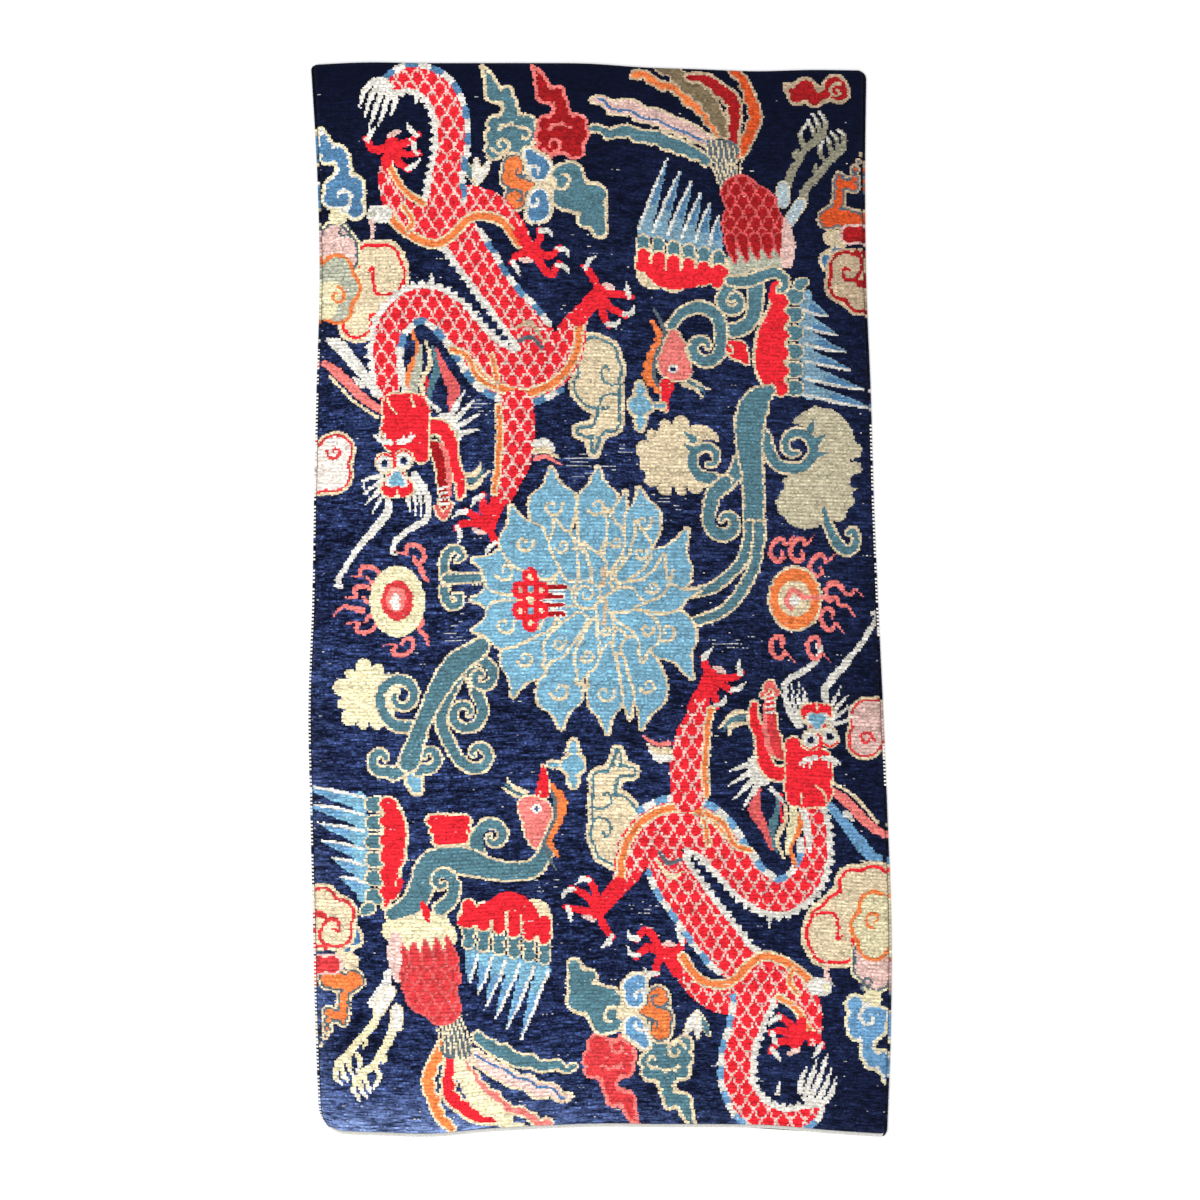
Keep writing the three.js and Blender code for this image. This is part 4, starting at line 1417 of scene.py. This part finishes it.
def fibre_material(name, fibre_size, roughness, sheen, bump, contrast):
    """Spun fibre: the knots' own colours, made lighter and darker by fine noise, with a bump of two
    noises, one as fine as the fibre and one as coarse as a tuft. Sizes are in metres."""
    material, shader = new_material(name)
    place = add_node(material, "TexCoord")
    colour = add_node(material, "Attribute")
    colour.attribute_name = COLOUR_LAYER
    fine = add_node(material, "TexNoise", Scale=1 / fibre_size, Detail=3.0, Roughness=0.65)
    coarse = add_node(material, "TexNoise", Scale=0.22 / fibre_size, Detail=2.0)
    both = add_node(material, "Math")
    both.operation = "MULTIPLY_ADD"
    both.inputs[1].default_value = 0.5
    tone = add_node(material, "MapRange", From_Min=0.55, From_Max=1.0,
                    To_Min=1 - contrast, To_Max=1 + contrast)
    dyed = add_node(material, "VectorMath")
    dyed.operation = "SCALE"
    matt = add_node(material, "MapRange", To_Min=roughness - 0.08, To_Max=roughness)
    relief = add_node(material, "Bump", Strength=0.8, Distance=bump)
    for out, into in (
            (place.outputs["Object"], fine.inputs["Vector"]),
            (place.outputs["Object"], coarse.inputs["Vector"]),
            (coarse.outputs["Fac"], both.inputs[0]),
            (fine.outputs["Fac"], both.inputs[2]),
            (both.outputs["Value"], tone.inputs["Value"]),
            (colour.outputs["Color"], dyed.inputs[0]),
            (tone.outputs["Result"], dyed.inputs["Scale"]),
            (dyed.outputs["Vector"], shader.inputs["Base Color"]),
            (fine.outputs["Fac"], matt.inputs["Value"]),
            (matt.outputs["Result"], shader.inputs["Roughness"]),
            (both.outputs["Value"], relief.inputs["Height"]),
            (relief.outputs["Normal"], shader.inputs["Normal"])):
        material.node_tree.links.new(out, into)
    shader.inputs["Specular IOR Level"].default_value = 0.06
    shader.inputs["Sheen Weight"].default_value = sheen
    shader.inputs["Sheen Roughness"].default_value = 0.6
    return material


# fibre size, roughness, sheen, bump and contrast of each kind of fibre
FIBRES = {
    "knotted_wool": (0.0011, 0.98, 0.02, 0.0006, 0.20),
    "wound_wool": (0.0008, 0.95, 0.02, 0.0004, 0.16),
    "woven_cotton": (0.0006, 0.92, 0.02, 0.0003, 0.12),
    "knot_collars": (0.0007, 0.95, 0.02, 0.0004, 0.14),
}


def material_of(name):
    """The fibre's material, made on first use."""
    return bpy.data.materials.get(name) or fibre_material(name, *FIBRES[name])


def floor_material(tone):
    """Matt off-white paint with a trace of mottling."""
    material, shader = new_material("floor_paint")
    place = add_node(material, "TexCoord")
    noise = add_node(material, "TexNoise", Scale=3.0)
    ramp = add_node(material, "MapRange", To_Min=tone - 0.01, To_Max=tone + 0.01)
    links = material.node_tree.links
    links.new(place.outputs["Object"], noise.inputs["Vector"])
    links.new(noise.outputs["Fac"], ramp.inputs["Value"])
    links.new(ramp.outputs["Result"], shader.inputs["Base Color"])
    shader.inputs["Roughness"].default_value = 0.95
    shader.inputs["Specular IOR Level"].default_value = 0.1
    return material


# Sizes and colours that a user would change


def yarn_property(name, red, green, blue):
    """A colour setting for one yarn, from 0 to 1 as seen on a screen."""
    return bpy.props.FloatVectorProperty(
        name=name.capitalize(), description=f"Colour of the {name} yarn", subtype="COLOR_GAMMA",
        size=3, min=0, max=1, default=(red / 255, green / 255, blue / 255))


class RugSizes(bpy.types.PropertyGroup):
    """Counts and sizes of the knotting."""

    rows: bpy.props.IntProperty(
        name="Rows", description="Rows of knots from end to end", default=285, min=30)
    columns: bpy.props.IntProperty(
        name="Columns", description="Knots in a row", default=300, min=30)
    pile_height: bpy.props.FloatProperty(
        name="Pile height", description="Height of the pile above the floor",
        subtype="DISTANCE", unit="LENGTH", default=round(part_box("knotted_field")[1].z, 4) - 0.0005)
    ridge_depth: bpy.props.FloatProperty(
        name="Ridge depth", description="Depth of the gap between two rows of knots",
        subtype="DISTANCE", unit="LENGTH", default=0.0011)


class RugColours(bpy.types.PropertyGroup):
    """One colour for each yarn."""

    __annotations__ = {row[0]: yarn_property(*row) for row in YARNS}


class RugStage(bpy.types.PropertyGroup):
    """Floor, light and camera."""

    floor_tone: bpy.props.FloatProperty(
        name="Floor tone", description="How light the floor is", default=0.9)
    view_width: bpy.props.FloatProperty(
        name="View width", description="Width of floor that the camera sees",
        subtype="DISTANCE", unit="LENGTH", default=1.92)


@functools.lru_cache(maxsize=1)
def dyed(rows, columns, palette):
    """The dyed knots, kept for the next step that asks for the same."""
    return Dyeing(rows, columns, np.array(palette))


def knotting():
    """The dyed knots for the present sizes and colours."""
    scene = bpy.context.scene
    palette = tuple(tuple(getattr(scene.rug_colours, row[0])) for row in YARNS)
    return dyed(scene.rug_sizes.rows, scene.rug_sizes.columns, palette)


# Steps


BANDS = ("pile_foot", "pile_middle", "pile_head")


class RUG_OT_pile(bpy.types.Operator):
    """Knot the wool pile in three bands, foot, middle and head"""

    bl_idname = "rug.pile"
    bl_label = "Knot the pile"

    def execute(self, context):
        sizes = context.scene.rug_sizes
        dyeing = knotting()
        cuts = np.linspace(0, sizes.rows, len(BANDS) + 1).astype(int)
        for name, first, last in zip(BANDS, cuts[:-1], cuts[1:]):
            band(name, dyeing, int(first), int(last), sizes, material_of("knotted_wool"))
        return {"FINISHED"}


class RUG_OT_cords(bpy.types.Operator):
    """Wind the side cords"""

    bl_idname = "rug.cords"
    bl_label = "Wind the side cords"

    def execute(self, context):
        dyeing = knotting()
        for on_left in (True, False):
            cord(dyeing, on_left, material_of("wound_wool"))
        return {"FINISHED"}


class RUG_OT_web(bpy.types.Operator):
    """Weave the cotton web at the foot end"""

    bl_idname = "rug.web"
    bl_label = "Weave the end web"

    def execute(self, context):
        web(material_of("woven_cotton"))
        return {"FINISHED"}


class RUG_OT_back(bpy.types.Operator):
    bl_idname = "rug.back"
    bl_label = "Weave the foundation"

    def execute(self, context):
        piece = back(knotting(), material_of("knot_collars"))
        return {"FINISHED"}


# name, place and size in metres, and power of each light
LAMPS = (("key", (-1.2, -0.6, 3.4), 2.6, 95), ("fill", (1.4, 0.9, 3.6), 3.0, 55))
FLOOR_HALF = 9.0
FLOOR_DROP = -0.0002
LENS = 85.0
FILM_WIDTH = 36.0


def lamp(name, place, size, power):
    """A square soft light that faces the rug's middle."""
    light = bpy.data.lights.new(name, "AREA")
    light.shape = "SQUARE"
    light.size, light.energy = size, power
    holder = bpy.data.objects.new(name, light)
    holder.location = place
    holder.rotation_euler = (-Vector(place)).to_track_quat("-Z", "Y").to_euler()
    bpy.context.scene.collection.objects.link(holder)


def lay_floor(scene, tone):
    """A plain square floor, just under the rug."""
    mesh = bpy.data.meshes.new("floor")
    corners = [(-FLOOR_HALF, -FLOOR_HALF), (FLOOR_HALF, -FLOOR_HALF),
               (FLOOR_HALF, FLOOR_HALF), (-FLOOR_HALF, FLOOR_HALF)]
    mesh.from_pydata([(x, y, FLOOR_DROP) for x, y in corners], [], [(0, 1, 2, 3)])
    mesh.materials.append(floor_material(tone))
    floor = bpy.data.objects.new("floor", mesh)
    scene.collection.objects.link(floor)


def light_room(scene):
    """Two soft lamps and an even white surround."""
    for row in LAMPS:
        lamp(*row)
    world = bpy.data.worlds.new("studio")
    world.use_nodes = True
    surround = world.node_tree.nodes["Background"]
    surround.inputs["Color"].default_value = (1.0, 1.0, 1.0, 1.0)
    surround.inputs["Strength"].default_value = 0.55
    scene.world = world
    scene.view_settings.view_transform = "Standard"


def set_camera(scene, view_width):
    """A camera straight above the rug, high enough to see the given width of floor."""
    camera = bpy.data.cameras.new("above")
    camera.lens, camera.sensor_width = LENS, FILM_WIDTH
    holder = bpy.data.objects.new("above", camera)
    holder.location = (0, 0, view_width * LENS / FILM_WIDTH)
    scene.collection.objects.link(holder)
    scene.camera = holder


class RUG_OT_stage(bpy.types.Operator):
    """Lay the floor, hang the lights and set the camera straight above"""

    bl_idname = "rug.stage"
    bl_label = "Set the stage"

    def execute(self, context):
        scene, settings = context.scene, context.scene.rug_stage
        lay_floor(scene, settings.floor_tone)
        light_room(scene)
        set_camera(scene, settings.view_width)
        return {"FINISHED"}


STEPS = (RUG_OT_pile, RUG_OT_cords, RUG_OT_web, RUG_OT_back, RUG_OT_stage)


class RUG_PT_panel(bpy.types.Panel):
    """The rug's settings and steps"""

    bl_idname = "RUG_PT_panel"
    bl_label = "Knotted rug"
    bl_space_type = "VIEW_3D"
    bl_region_type = "UI"
    bl_category = "Rug"

    def draw(self, context):
        scene = context.scene
        for group in (scene.rug_sizes, scene.rug_stage, scene.rug_colours):
            box = self.layout.box()
            for name in group.__annotations__:
                box.prop(group, name)
        for step in STEPS:
            self.layout.operator(step.bl_idname)


GROUPS = {"rug_sizes": RugSizes, "rug_colours": RugColours, "rug_stage": RugStage}


def register():
    for cls in (*GROUPS.values(), *STEPS, RUG_PT_panel):
        bpy.utils.register_class(cls)
    for name, group in GROUPS.items():
        setattr(bpy.types.Scene, name, bpy.props.PointerProperty(type=group))


def unregister():
    for name in GROUPS:
        delattr(bpy.types.Scene, name)
    for cls in (RUG_PT_panel, *reversed(STEPS), *reversed(GROUPS.values())):
        bpy.utils.unregister_class(cls)


def main():
    register()
    bpy.ops.rug.pile()
    bpy.ops.rug.cords()
    bpy.ops.rug.web()
    bpy.ops.rug.back()
    bpy.ops.rug.stage()


if __name__ == "__main__":
    main()
